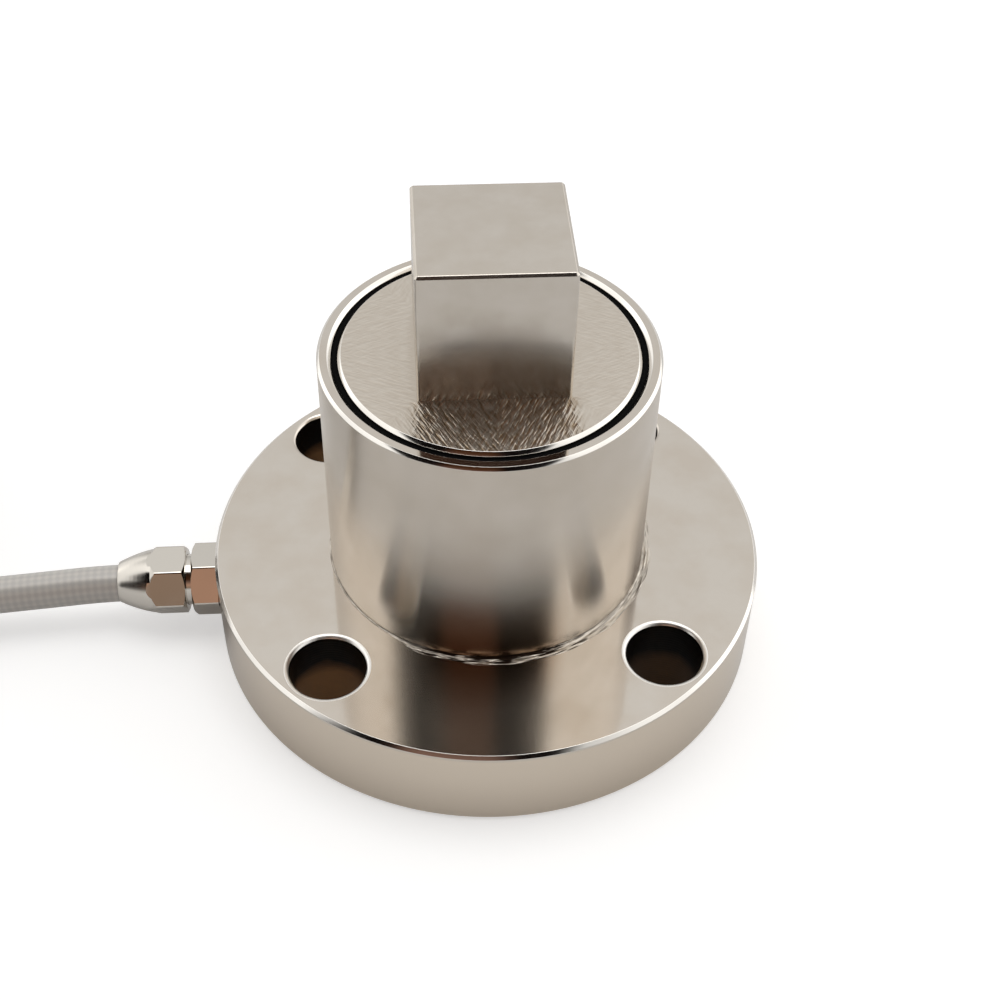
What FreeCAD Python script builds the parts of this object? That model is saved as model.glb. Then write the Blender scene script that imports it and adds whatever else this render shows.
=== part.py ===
import FreeCAD, Part
import math
import os

import Sketcher

V = FreeCAD.Vector

doc = FreeCAD.newDocument("flange_torque_sensor")
sheet = doc.addObject("Spreadsheet::Sheet", "Dimensions")

# Driving dimensions in millimetres. Everything else follows from them.
DIMENSIONS = (
    # flange, the lower end that is bolted down
    ("flange_diameter", 80.0),
    ("flange_thickness", 14.0),
    ("flange_chamfer", 0.7),
    ("bolt_hole", 10.5),
    ("bolt_rim_land", 1.75),
    ("bolt_chamfer", 0.75),
    ("bolt_count", 4),
    ("pilot_diameter", 30.0),
    ("pilot_depth", 3.0),
    ("register_height", 1.0),
    # shaft that twists, and the collar on top of it
    ("cavity_width", 9.1),
    ("shaft_fillet", 3.0),
    ("collar_height", 7.0),
    ("rim_chamfer", 0.4),
    # drive square
    ("square_side", 20.0),
    ("square_height", 19.5),
    ("square_chamfer", 0.5),
    ("square_top_chamfer", 0.4),
    # cover sleeve and the soft ring in its mouth
    ("sleeve_diameter", 46.0),
    ("sleeve_height", 36.0),
    ("sleeve_wall", 1.9),
    ("sleeve_chamfer", 0.4),
    ("mouth_chamfer", 0.5),
    ("sleeve_clearance", 0.1),
    ("weld_leg", 0.6),
    ("guide_gap", 0.3),
    ("seal_gap", 0.85),
    ("seal_depth", 3.0),
    ("seal_recess", 0.6),
    # measuring bridge inside the sleeve
    ("gauge_length", 9.0),
    ("gauge_width", 8.0),
    ("gauge_thickness", 0.2),
    ("gauge_bond", 0.05),
    ("gauge_count", 4),
    ("board_thickness", 1.2),
    ("board_edge_gap", 0.6),
    ("board_notch", 7.5),
    ("resistor_length", 3.2),
    ("resistor_width", 1.6),
    ("resistor_height", 0.6),
    ("bridge_wire", 0.4),
    ("core_diameter", 1.0),
    # way of the cable through the flange
    ("lead_offset", 0.5),
    ("passage_diameter", 4.5),
    ("tapped_depth", 9.0),
    ("spot_face_diameter", 11.4),
    ("spot_face_depth", 0.6),
    # cable gland
    ("gland_thread", 8.0),
    ("gland_thread_length", 7.5),
    ("thread_clearance", 0.05),
    ("gland_hexagon", 9.6),
    ("gland_nut_hexagon", 9.2),
    ("gland_body_hexagon_length", 3.9),
    ("gland_neck", 0.9),
    ("gland_nut_hexagon_length", 4.0),
    ("gland_cone_length", 6.05),
    ("gland_nose_lip", 0.15),
    ("gland_outer_thread", 7.6),
    ("gland_seal_length", 2.7),
    ("gland_seal_wall", 0.6),
    ("gland_washer", 0.5),
    ("gasket_thickness", 0.4),
    ("hexagon_chamfer", 0.45),
    # cable and its coil
    ("cable_diameter", 5.5),
    ("cable_clearance", 0.15),
    ("coil_pitch", 5.65),
    ("coil_layer", 5.55),
    ("coil_outer_turn", 44.2),
    ("tie_thickness", 0.6),
    ("tie_width", 6.0),
    ("tie_slack", 0.3),
    ("end_sleeve_length", 14.0),
    ("end_sleeve_wall", 0.4),
    ("tail_length", 45.0),
    ("tail_diameter", 1.2),
)

for row, (alias, value) in enumerate(DIMENSIONS, start=1):
    sheet.set("A%d" % row, alias)
    sheet.set("B%d" % row, str(value))
    sheet.setAlias("B%d" % row, alias)
doc.recompute()


class Size:
    """A length: its value in millimetres, and the expression that ties it to the sheet."""

    def __init__(self, value, text):
        self.value = value
        self.text = text

    def join(self, sign, other, value):
        text = other.text if isinstance(other, Size) else repr(other)
        return Size(value, "(%s %s %s)" % (self.text, sign, text))

    def __add__(self, other):
        return self.join("+", other, self.value + number(other))

    def __sub__(self, other):
        return self.join("-", other, self.value - number(other))

    def __mul__(self, other):
        return self.join("*", other, self.value * number(other))

    def __truediv__(self, other):
        return self.join("/", other, self.value / number(other))

    def __neg__(self):
        return self * -1


def number(size):
    """The plain value of a size or of a number."""
    return size.value if isinstance(size, Size) else size


def dim(alias):
    """A driving dimension of the sheet."""
    return Size(float(sheet.get(alias)), "Dimensions." + alias)


def bind(thing, prop, size):
    """Set a property and tie it to the sheet."""
    thing.setExpression(prop, size.text)


# Levels and radii that several pieces share
flange_r = dim("flange_diameter") / 2
flange_top = dim("flange_thickness")
sleeve_r = dim("sleeve_diameter") / 2
bore_r = sleeve_r - dim("sleeve_wall")
register_r = bore_r - dim("sleeve_clearance")
register_top = flange_top + dim("register_height")
collar_top = flange_top + dim("sleeve_height")
collar_bottom = collar_top - dim("collar_height")
collar_r = bore_r - dim("seal_gap")
guide_r = bore_r - dim("guide_gap")
seal_ledge = collar_top - dim("seal_depth")
seal_top = collar_top - dim("seal_recess")
shaft_r = bore_r - dim("cavity_width")
fillet_r = shaft_r + dim("shaft_fillet")
cavity_mid = (fillet_r + bore_r) / 2
bolt_circle_r = flange_r - dim("bolt_rim_land") - dim("bolt_hole") / 2
lead_height = flange_top / 2 + dim("lead_offset")
gauge_mid = (register_top + collar_bottom) / 2
board_in = fillet_r + dim("board_edge_gap")
board_out = register_r - dim("board_edge_gap")
board_mid = (board_in + board_out) / 2
board_top = register_top + dim("board_thickness")

nodes = []


def named(thing, label):
    """Keep an object as one of the handed-over nodes."""
    thing.Label = label
    nodes.append(thing)
    return thing


def new_body(label):
    body = doc.addObject("PartDesign::Body", label + "_body")
    return named(body, label)


def origin(body, role):
    """The origin plane or axis of a body that plays this role."""
    return next(f for f in body.Origin.OriginFeatures if f.Role == role)


def new_sketch(body, plane, height=None):
    """An empty sketch on a plane of the body's own origin, raised along its normal if asked."""
    sketch = body.newObject("Sketcher::SketchObject", body.Label + "_sketch")
    sketch.AttachmentSupport = [(origin(body, plane), "")]
    sketch.MapMode = "FlatFace"
    if height is not None:
        bind(sketch, "AttachmentOffset.Base.z", height)
    return sketch


def pin(sketch, geometry, point, x, y):
    """Hold a point of the sketch at x, y from its origin."""
    for axis, kind, size in ((-2, "DistanceX", x), (-1, "DistanceY", y)):
        if number(size) == 0:
            sketch.addConstraint(Sketcher.Constraint("PointOnObject", geometry, point, axis))
            continue
        place = sketch.addConstraint(
            Sketcher.Constraint(kind, -1, 1, geometry, point, number(size))
        )
        sketch.setExpression("Constraints[%d]" % place, size.text)


def outline(sketch, corners):
    """A closed outline. A corner is (x, y), or (x, y, radius, side) when an arc leads on from it."""
    first = sketch.GeometryCount
    count = len(corners)
    for i, corner in enumerate(corners):
        a = V(number(corner[0]), number(corner[1]), 0)
        after = corners[(i + 1) % count]
        b = V(number(after[0]), number(after[1]), 0)
        if len(corner) == 2:
            sketch.addGeometry(Part.LineSegment(a, b), False)
            continue
        radius, side = number(corner[2]), corner[3]
        half = (b - a) / 2
        away = V(-half.y, half.x, 0).normalize() * side
        lift = math.sqrt(max(radius**2 - half.Length**2, 0))
        mid = a + half + away * (radius - lift) * -1
        sketch.addGeometry(Part.Arc(a, mid, b), False)
    ends = []
    for i, corner in enumerate(corners):
        # an arc drawn clockwise is stored turned round, so its ends are told by place
        a = V(number(corner[0]), number(corner[1]), 0)
        start = sketch.getPoint(first + i, 1)
        ends.append((1, 2) if start.distanceToPoint(a) < 1e-6 else (2, 1))
    for i in range(count):
        after = (i + 1) % count
        sketch.addConstraint(
            Sketcher.Constraint(
                "Coincident", first + i, ends[i][1], first + after, ends[after][0]
            )
        )
    for i, corner in enumerate(corners):
        pin(sketch, first + i, ends[i][0], corner[0], corner[1])
        if len(corner) > 2:
            place = sketch.addConstraint(
                Sketcher.Constraint("Radius", first + i, number(corner[2]))
            )
            sketch.setExpression("Constraints[%d]" % place, corner[2].text)


def circle(sketch, x, y, radius):
    """A full circle, with its centre and radius tied to the sheet."""
    place = sketch.addGeometry(
        Part.Circle(V(number(x), number(y), 0), V(0, 0, 1), number(radius)), False
    )
    pin(sketch, place, 3, x, y)
    held = sketch.addConstraint(Sketcher.Constraint("Radius", place, number(radius)))
    sketch.setExpression("Constraints[%d]" % held, radius.text)


def turn(body, corners, angle=None):
    """Turn an outline of (radius, height) corners about the body's own Z axis."""
    sketch = new_sketch(body, "XZ_Plane")
    outline(sketch, corners)
    feature = body.newObject("PartDesign::Revolution", body.Label + "_turned")
    feature.Profile = sketch
    feature.ReferenceAxis = (origin(body, "Z_Axis"), [""])
    if angle is None:
        feature.Angle = 360
    else:
        feature.Midplane = True
        bind(feature, "Angle", angle)
    doc.recompute()
    return feature


def turn_away(body, corners, axis_height):
    """Cut what an outline sweeps about a level line of the body's XZ plane."""
    sketch = new_sketch(body, "XZ_Plane")
    outline(sketch, corners)
    line = sketch.addGeometry(
        Part.LineSegment(V(-1, number(axis_height), 0), V(-20, number(axis_height), 0)), True
    )
    sketch.addConstraint(Sketcher.Constraint("Horizontal", line))
    pin(sketch, line, 1, -dim("register_height"), axis_height)
    feature = body.newObject("PartDesign::Groove", body.Label + "_groove")
    feature.Profile = sketch
    feature.ReferenceAxis = (sketch, ["Axis0"])
    feature.Angle = 360
    doc.recompute()
    return feature


def pad(body, sketch, length, label):
    feature = body.newObject("PartDesign::Pad", body.Label + label)
    feature.Profile = sketch
    bind(feature, "Length", length)
    doc.recompute()
    return feature


def bevel(body, base, size, wanted):
    """Chamfer the edges of a feature that a test picks out."""
    edges = ["Edge%d" % (i + 1) for i, e in enumerate(base.Shape.Edges) if wanted(e)]
    feature = body.newObject("PartDesign::Chamfer", body.Label + "_chamfer")
    feature.Base = (base, edges)
    bind(feature, "Size", size)
    doc.recompute()
    return feature


def level(edge, height):
    """Does the whole edge lie at this height?"""
    return all(abs(v.Z - number(height)) < 1e-6 for v in edge.Vertexes)


# Body: flange, shaft, collar and square from one bar
body = new_body("sensor_body")
turn(
    body,
    [
        (Size(0, "0"), dim("pilot_depth")),
        (dim("pilot_diameter") / 2, dim("pilot_depth")),
        (dim("pilot_diameter") / 2, Size(0, "0")),
        (flange_r - dim("flange_chamfer"), Size(0, "0")),
        (flange_r, dim("flange_chamfer")),
        (flange_r, flange_top - dim("flange_chamfer")),
        (flange_r - dim("flange_chamfer"), flange_top),
        (register_r, flange_top),
        (register_r, register_top),
        (fillet_r, register_top, dim("shaft_fillet"), 1),
        (shaft_r, register_top + dim("shaft_fillet")),
        (shaft_r, collar_bottom - dim("shaft_fillet"), dim("shaft_fillet"), 1),
        (fillet_r, collar_bottom),
        (guide_r, collar_bottom),
        (guide_r, seal_ledge),
        (collar_r, seal_ledge),
        (collar_r, collar_top - dim("rim_chamfer")),
        (collar_r - dim("rim_chamfer"), collar_top),
        (Size(0, "0"), collar_top),
    ],
)
half = dim("square_side") / 2
short = half - dim("square_chamfer")
square = new_sketch(body, "XY_Plane", collar_top)
outline(
    square,
    [
        (half, -short),
        (half, short),
        (short, half),
        (-short, half),
        (-half, short),
        (-half, -short),
        (-short, -half),
        (short, -half),
    ],
)
solid = pad(body, square, dim("square_height"), "_square")
square_top = collar_top + dim("square_height")
bevel(body, solid, dim("square_top_chamfer"), lambda e: level(e, square_top))

hole = new_sketch(body, "XY_Plane", flange_top)
diagonal = bolt_circle_r * round(math.sqrt(0.5), 9)
circle(hole, diagonal, diagonal, dim("bolt_hole") / 2)
drilled = body.newObject("PartDesign::Pocket", "bolt_hole_cut")
drilled.Profile = hole
bind(drilled, "Length", flange_top)
doc.recompute()
ring = body.newObject("PartDesign::PolarPattern", "bolt_holes")
ring.Originals = [drilled]
ring.Axis = (origin(body, "Z_Axis"), [""])
ring.Angle = 360
bind(ring, "Occurrences", dim("bolt_count"))
body.Tip = ring
doc.recompute()


def is_bolt_edge(edge):
    curve = edge.Curve
    if not isinstance(curve, Part.Circle):
        return False
    return abs(curve.Radius - number(dim("bolt_hole")) / 2) < 1e-6 and level(edge, flange_top)


bevel(body, ring, dim("bolt_chamfer"), is_bolt_edge)

# Way in for the cable: spot face, tapped hole and drilled passage, in one line
spot_plane = flange_r - dim("spot_face_depth")
tap_end = spot_plane - dim("tapped_depth")
passage_r = dim("passage_diameter") / 2
passage_end = cavity_mid - passage_r
outside = flange_r + dim("flange_chamfer")
turn_away(
    body,
    [
        (-outside, lead_height),
        (-outside, lead_height + dim("spot_face_diameter") / 2),
        (-spot_plane, lead_height + dim("spot_face_diameter") / 2),
        (-spot_plane, lead_height + dim("gland_thread") / 2),
        (-tap_end, lead_height + dim("gland_thread") / 2),
        (-tap_end, lead_height + passage_r),
        (-passage_end, lead_height + passage_r),
        (-passage_end, lead_height),
    ],
    lead_height,
)
riser = new_sketch(body, "XY_Plane", register_top)
circle(riser, -cavity_mid, Size(0, "0"), passage_r)
drilled_up = body.newObject("PartDesign::Pocket", "riser_cut")
drilled_up.Profile = riser
bind(drilled_up, "Length", register_top - lead_height)
doc.recompute()

# Sleeve: a tube over the collar, joined to the flange by a bead of weld
sleeve = new_body("cover_sleeve")
turn(
    sleeve,
    [
        (bore_r, flange_top),
        (sleeve_r + dim("weld_leg"), flange_top, dim("weld_leg") * 1.3, 1),
        (sleeve_r, flange_top + dim("weld_leg")),
        (sleeve_r, collar_top - dim("sleeve_chamfer")),
        (sleeve_r - dim("sleeve_chamfer"), collar_top),
        (bore_r + dim("mouth_chamfer"), collar_top),
        (bore_r, collar_top - dim("mouth_chamfer")),
    ],
)

# Soft ring that closes the gap but lets the collar twist; its top is dished
seal = new_body("seal_ring")
turn(
    seal,
    [
        (collar_r, seal_ledge),
        (bore_r, seal_ledge),
        (bore_r, seal_top, dim("seal_gap") * 0.9, -1),
        (collar_r, seal_top),
    ],
)

# Strain gauges, bonded round the middle of the shaft on a film of glue
gauge_in = shaft_r + dim("gauge_bond")
gauge_out = gauge_in + dim("gauge_thickness")
gauge_turn = 360 / number(dim("gauge_count"))
for i in range(int(number(dim("gauge_count")))):
    gauge = new_body("strain_gauge_%d" % (i + 1))
    gauge_low = gauge_mid - dim("gauge_length") / 2
    gauge_high = gauge_mid + dim("gauge_length") / 2
    turn(
        gauge,
        [
            (gauge_in, gauge_low),
            (gauge_out, gauge_low),
            (gauge_out, gauge_high),
            (gauge_in, gauge_high),
        ],
        dim("gauge_width") / shaft_r * round(180 / math.pi, 9),
    )
    gauge.Placement = FreeCAD.Placement(V(), FreeCAD.Rotation(V(0, 0, 1), gauge_turn * i))

# Ring of circuit board, open where the cores come up
board = new_body("terminal_board")
notch_angle = dim("board_notch") / board_mid * round(180 / math.pi, 9)
turn(
    board,
    [
        (board_in, register_top),
        (board_out, register_top),
        (board_out, board_top),
        (board_in, board_top),
    ],
    -(notch_angle - 360),
)

# Trimming resistors, flat on the board between the gauges
for i, angle in enumerate((-112.5, -67.5, 67.5, 112.5)):
    chip = named(doc.addObject("Part::Box", "trim_resistor_%d" % (i + 1)), "trim_resistor_%d" % (i + 1))
    bind(chip, "Length", dim("resistor_width"))
    bind(chip, "Width", dim("resistor_length"))
    bind(chip, "Height", dim("resistor_height"))
    spin = FreeCAD.Rotation(V(0, 0, 1), angle)
    corner = board_mid - dim("resistor_width") / 2
    place = V(number(corner), -number(dim("resistor_length")) / 2, number(board_top))
    chip.Placement = FreeCAD.Placement(spin.multVec(place), spin)


def corner_radii(points):
    """Radius of the arc at each inner corner of a run of points."""
    radii = []
    for a, b, c in zip(points, points[1:], points[2:]):
        bend = (b - a).getAngle(c - b)
        radii.append(0.45 * min((b - a).Length, (c - b).Length) / math.tan(bend / 2))
    return radii


def path(points, radii):
    """Straight runs with a tangent arc at each inner corner, as one wire."""
    edges = []
    here = points[0]
    for a, b, c, radius in zip(points, points[1:], points[2:], radii):
        into = (b - a).normalize()
        out = (c - b).normalize()
        reach = radius * math.tan(into.getAngle(out) / 2)
        start = b - into * reach
        stop = b + out * reach
        inward = (out - into).normalize()
        far = math.sqrt(radius**2 + reach**2)
        middle = b + inward * (far - radius)
        if (start - here).Length > 1e-6:
            edges.append(Part.LineSegment(here, start).toShape())
        edges.append(Part.Arc(start, middle, stop).toShape())
        here = stop
    if (points[-1] - here).Length > 1e-6:
        edges.append(Part.LineSegment(here, points[-1]).toShape())
    return Part.Wire(edges)


def tube(points, radius, radii=None):
    """A round solid along a run of points."""
    spine = path(points, radii or corner_radii(points))
    across = (points[1] - points[0]).normalize()
    ring = Part.Wire([Part.Circle(points[0], across, radius).toShape()])
    return spine, spine.makePipeShell([ring], True, True)


def shape_node(label, shape):
    """A node whose shape no plain feature gives."""
    thing = named(doc.addObject("Part::Feature", label), label)
    thing.Shape = shape
    return thing


# Fine wires from each gauge down to the board, two to a gauge
wire_r = number(dim("bridge_wire")) / 2
wire_out = number(gauge_out) + wire_r + 0.02
wire_low = number(board_top) + wire_r
gauge_foot = number(gauge_mid - dim("gauge_length") / 2)
wires = []
for i in range(int(number(dim("gauge_count")))):
    for side in (-1, 1):
        lean = FreeCAD.Rotation(V(0, 0, 1), gauge_turn * i + side * 8)
        away = FreeCAD.Rotation(V(0, 0, 1), gauge_turn * i + side * 33)
        run = [
            lean.multVec(V(wire_out, 0, gauge_foot + 1.5)),
            lean.multVec(V(wire_out, 0, gauge_foot - 2.5)),
            away.multVec(V(number(board_mid) - 0.8, 0, wire_low)),
            away.multVec(V(number(board_mid) + 1.2, 0, wire_low)),
        ]
        wires.append(tube(run, wire_r)[1])
shape_node("bridge_wires", Part.makeCompound(wires))

# Cores of the cable: in line through the gland, up the riser, then out on the board
core_r = number(dim("core_diameter")) / 2
spread = core_r + 0.15
jacket_end = spot_plane - dim("gland_thread_length") + 1.2
start_x = -number(jacket_end)
for label, up, side in (
    ("core_red", 1, 1),
    ("core_black", 1, -1),
    ("core_green", -1, 1),
    ("core_white", -1, -1),
):
    x = -number(cavity_mid) - spread * up
    y = spread * side
    z = number(lead_height) + spread * up
    top = number(board_top) + core_r
    run = [
        V(start_x, y, z),
        V(x, y, z),
        V(x, y, top),
        V(x, y + side * (number(dim("board_notch")) / 2 + 2.6), top),
    ]
    turns = [1.4 - spread * up + 1.0, 1.4]
    shape_node(label, tube(run, core_r, turns)[1])

# Gland parts are turned upright about Z, then laid along the lead's line
cable_r = dim("cable_diameter") / 2
cable_bore = cable_r + dim("cable_clearance")
seal_out = cable_r + dim("gland_seal_wall")
outer_thread = dim("gland_outer_thread") / 2
gasket_at = spot_plane
body_at = gasket_at + dim("gasket_thickness")
neck_at = body_at + dim("gland_body_hexagon_length")
nut_at = neck_at + dim("gland_neck")
cone_at = nut_at + dim("gland_nut_hexagon_length")
nose_at = cone_at + dim("gland_cone_length")
washer_end = cone_at + dim("gland_washer") + 0.2
washer_at = washer_end - dim("gland_washer")
seal_at = washer_at - dim("gland_seal_length")
thread_end = washer_at - 0.6
spigot_at = spot_plane - dim("gland_thread_length")
nose_r = cable_bore + dim("gland_nose_lip")
flat_r = dim("gland_hexagon") / 2
corner_r = flat_r / round(math.cos(math.pi / 6), 9)
nut_flat_r = dim("gland_nut_hexagon") / 2
nut_corner_r = nut_flat_r / round(math.cos(math.pi / 6), 9)


def lay(thing, roll=0):
    """Lay a piece that stands on Z along the lead's line, out of the flange's side."""
    thing.Placement = FreeCAD.Placement(
        V(0, 0, number(lead_height)),
        FreeCAD.Rotation(V(0, 1, 0), -90) * FreeCAD.Rotation(V(0, 0, 1), roll),
    )
    bind(thing, "Placement.Base.z", lead_height)


def hexagon(piece, flat, start, length, label):
    """Pad a hexagon whose corners lie on the Y axis of the piece."""
    sketch = new_sketch(piece, "XY_Plane", start)
    corner = flat / round(math.cos(math.pi / 6), 9)
    lean = corner / 2
    outline(
        sketch,
        [
            (flat, -lean),
            (flat, lean),
            (Size(0, "0"), corner),
            (-flat, lean),
            (-flat, -lean),
            (Size(0, "0"), -corner),
        ],
    )
    return pad(piece, sketch, length, label)


def turn_off(piece, corners):
    """Turn material off a piece about its own Z axis."""
    sketch = new_sketch(piece, "XZ_Plane")
    outline(sketch, corners)
    feature = piece.newObject("PartDesign::Groove", piece.Label + "_turned_off")
    feature.Profile = sketch
    feature.ReferenceAxis = (origin(piece, "Z_Axis"), [""])
    feature.Angle = 360
    doc.recompute()
    return feature


past = corner_r + 0.5
gasket = new_body("gland_gasket")
turn(
    gasket,
    [
        (dim("gland_thread") / 2 + dim("thread_clearance"), gasket_at),
        (flat_r, gasket_at),
        (flat_r, body_at),
        (dim("gland_thread") / 2 + dim("thread_clearance"), body_at),
    ],
)
lay(gasket)

gland = new_body("gland_body")
hexagon(gland, flat_r, body_at, dim("gland_body_hexagon_length"), "_hexagon")
turn(
    gland,
    [
        (cable_bore, spigot_at),
        (dim("gland_thread") / 2 - dim("thread_clearance"), spigot_at),
        (dim("gland_thread") / 2 - dim("thread_clearance"), body_at),
        (flat_r, body_at),
        (flat_r, neck_at),
        (outer_thread - dim("thread_clearance"), neck_at),
        (outer_thread - dim("thread_clearance"), thread_end),
        (cable_bore, thread_end),
    ],
)
turn_off(
    gland,
    [
        (Size(0, "0"), spigot_at - 1),
        (cable_bore, spigot_at - 1),
        (cable_bore, seal_at),
        (seal_out, seal_at),
        (seal_out, thread_end + 1),
        (Size(0, "0"), thread_end + 1),
    ],
)
turn_off(
    gland,
    [
        (corner_r - dim("hexagon_chamfer") * 1.6, neck_at),
        (past, neck_at - (past - corner_r) * 0.6 - dim("hexagon_chamfer")),
        (past, neck_at),
    ],
)
lay(gland, 4.5)

gland_seal = new_body("gland_seal")
turn(
    gland_seal,
    [
        (cable_r, seal_at),
        (seal_out, seal_at),
        (seal_out, washer_at),
        (cable_r, washer_at),
    ],
)
lay(gland_seal)

washer = new_body("gland_washer")
turn(
    washer,
    [
        (cable_bore, washer_at),
        (outer_thread - 0.2, washer_at),
        (outer_thread - 0.2, washer_end),
        (cable_bore, washer_end),
    ],
)
lay(washer)

nut = new_body("gland_nut")
hexagon(nut, nut_flat_r, nut_at, dim("gland_nut_hexagon_length") + dim("gland_cone_length"), "_hexagon")
turn_off(
    nut,
    [
        (Size(0, "0"), nut_at - 1),
        (outer_thread, nut_at - 1),
        (outer_thread, washer_end),
        (cable_bore, washer_end),
        (cable_bore, nose_at + 1),
        (Size(0, "0"), nose_at + 1),
    ],
)
turn_off(
    nut,
    [
        (nut_corner_r - dim("hexagon_chamfer") * 1.6, nut_at),
        (past, nut_at),
        (past, nut_at + (past - nut_corner_r) * 0.6 + dim("hexagon_chamfer")),
    ],
)
turn_off(
    nut,
    [
        (past, cone_at - (past - nut_corner_r)),
        (past, nose_at),
        (nose_r, nose_at),
        (nut_flat_r + 0.15, cone_at + 1.0, dim("gland_cone_length") * 3, -1),
    ],
)
lay(nut, -2)

# Cable. These are the corners of its run, in millimetres, from the gland to the coil.
height = number(lead_height)
floor_height = number(dim("tie_thickness") + cable_r)
coil_centre = V(-135, 26.2, 0)
first_turn = number(dim("coil_outer_turn"))
front = coil_centre.y - first_turn
lead = [
    V(start_x, 0, height),
    V(-54.5, 0, height),
    V(-66, -0.6, 6.9),
    V(-79, -1.2, 6.3),
    V(-100, -12, 4.2),
    V(-118, front, floor_height),
    V(-130, front, floor_height),
]
radii = corner_radii(lead)
split = lead[3] + (lead[4] - lead[3]) * 0.52
spine, cable = tube(lead[:4] + [split], number(cable_r), radii[:3])
section = math.pi * number(cable_r) ** 2
print("cable bend radii", [round(r, 1) for r in radii])
print("cable volume over section x length", round(cable.Volume / (section * spine.Length), 4))
shape_node("cable_lead", cable)

# Coil: the outer form of its turns, with the last of the run, and room for the loose end
turns_per_layer = 3.4
layers = 4
loose_room = 0.27
last_turn = layers * turns_per_layer - loose_room
coil_r = number(cable_r)
layer_step = number(dim("coil_layer"))
pitch = number(dim("coil_pitch"))
inner_turn = first_turn - pitch * turns_per_layer


def smooth(x):
    x = min(max(x, 0), 1)
    return x * x * (3 - 2 * x)


def on_coil(turn_number):
    """A point of the wound cable. It winds in, climbs a layer, winds out, and so on."""
    layer = min(int(turn_number / turns_per_layer), layers - 1)
    along = turn_number - layer * turns_per_layer
    if layer % 2 == 0:
        radius = first_turn - pitch * along
    else:
        radius = inner_turn + pitch * along
    rise = 0
    for k in range(1, layers):
        rise += smooth((turn_number - k * turns_per_layer) / 0.75 + 0.5)
    angle = math.radians(-90) - 2 * math.pi * turn_number
    flat = V(radius * math.cos(angle), radius * math.sin(angle), 0)
    return coil_centre + flat + V(0, 0, floor_height + layer_step * rise)


ring_low = number(dim("tie_thickness"))
ring_high = ring_low + layers * layer_step
ring_in = inner_turn - coil_r
ring_out = first_turn + coil_r
block = Part.Face(
    Part.makePolygon(
        [
            V(ring_in, 0, ring_low),
            V(ring_out, 0, ring_low),
            V(ring_out, 0, ring_high),
            V(ring_in, 0, ring_high),
            V(ring_in, 0, ring_low),
        ]
    )
).revolve(V(), V(0, 0, 1), 360)
round_edges = [e for e in block.Edges if isinstance(e.Curve, Part.Circle)]
block = block.makeFillet(coil_r * 0.8, round_edges)
shelf = ring_high - layer_step - number(dim("end_sleeve_wall")) - 0.1
end_turn = (last_turn * 360) % 360
room_in = first_turn - coil_r - pitch * loose_room
room = Part.makeCylinder(ring_out + 5, layer_step * 2, V(0, 0, shelf), V(0, 0, 1), loose_room * 360)
room = room.cut(Part.makeCylinder(room_in - 1, layer_step * 3, V(0, 0, shelf - 1)))
room.rotate(V(), V(0, 0, 1), -90 - end_turn - loose_room * 360)
block = block.cut(room)
block.translate(coil_centre)
stub = tube([split] + lead[4:], coil_r, radii[3:])[1]
coil = block.fuse(stub).removeSplitter()
shape_node("cable_coil", coil.Solids[0])
steps = 400
wound = sum((on_coil(last_turn * (i + 1) / steps) - on_coil(last_turn * i / steps)).Length for i in range(steps))
print("coil solids", len(coil.Solids), "turn radii", round(inner_turn, 2), round(first_turn, 2))
print("cable length", round(wound + path(lead, radii).Length + 5))

# Straps round the bundle of turns
bundle_in = dim("coil_outer_turn") - dim("coil_pitch") * turns_per_layer - cable_r - dim("tie_slack")
bundle_out = dim("coil_outer_turn") + cable_r
bundle_high = dim("tie_thickness") + dim("coil_layer") * layers
for i, angle in enumerate((5, 205)):
    strap = new_body("coil_tie_%d" % (i + 1))
    sketch = new_sketch(strap, "XZ_Plane")
    outline(
        sketch,
        [
            (bundle_in - dim("tie_thickness"), Size(0, "0")),
            (bundle_out + dim("tie_thickness"), Size(0, "0")),
            (bundle_out + dim("tie_thickness"), bundle_high + dim("tie_thickness")),
            (bundle_in - dim("tie_thickness"), bundle_high + dim("tie_thickness")),
        ],
    )
    outline(
        sketch,
        [
            (bundle_in, dim("tie_thickness")),
            (bundle_out, dim("tie_thickness")),
            (bundle_out, bundle_high),
            (bundle_in, bundle_high),
        ],
    )
    band = pad(strap, sketch, dim("tie_width"), "_band")
    band.Midplane = True
    doc.recompute()
    strap.Placement = FreeCAD.Placement(coil_centre, FreeCAD.Rotation(V(0, 0, 1), angle))

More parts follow.
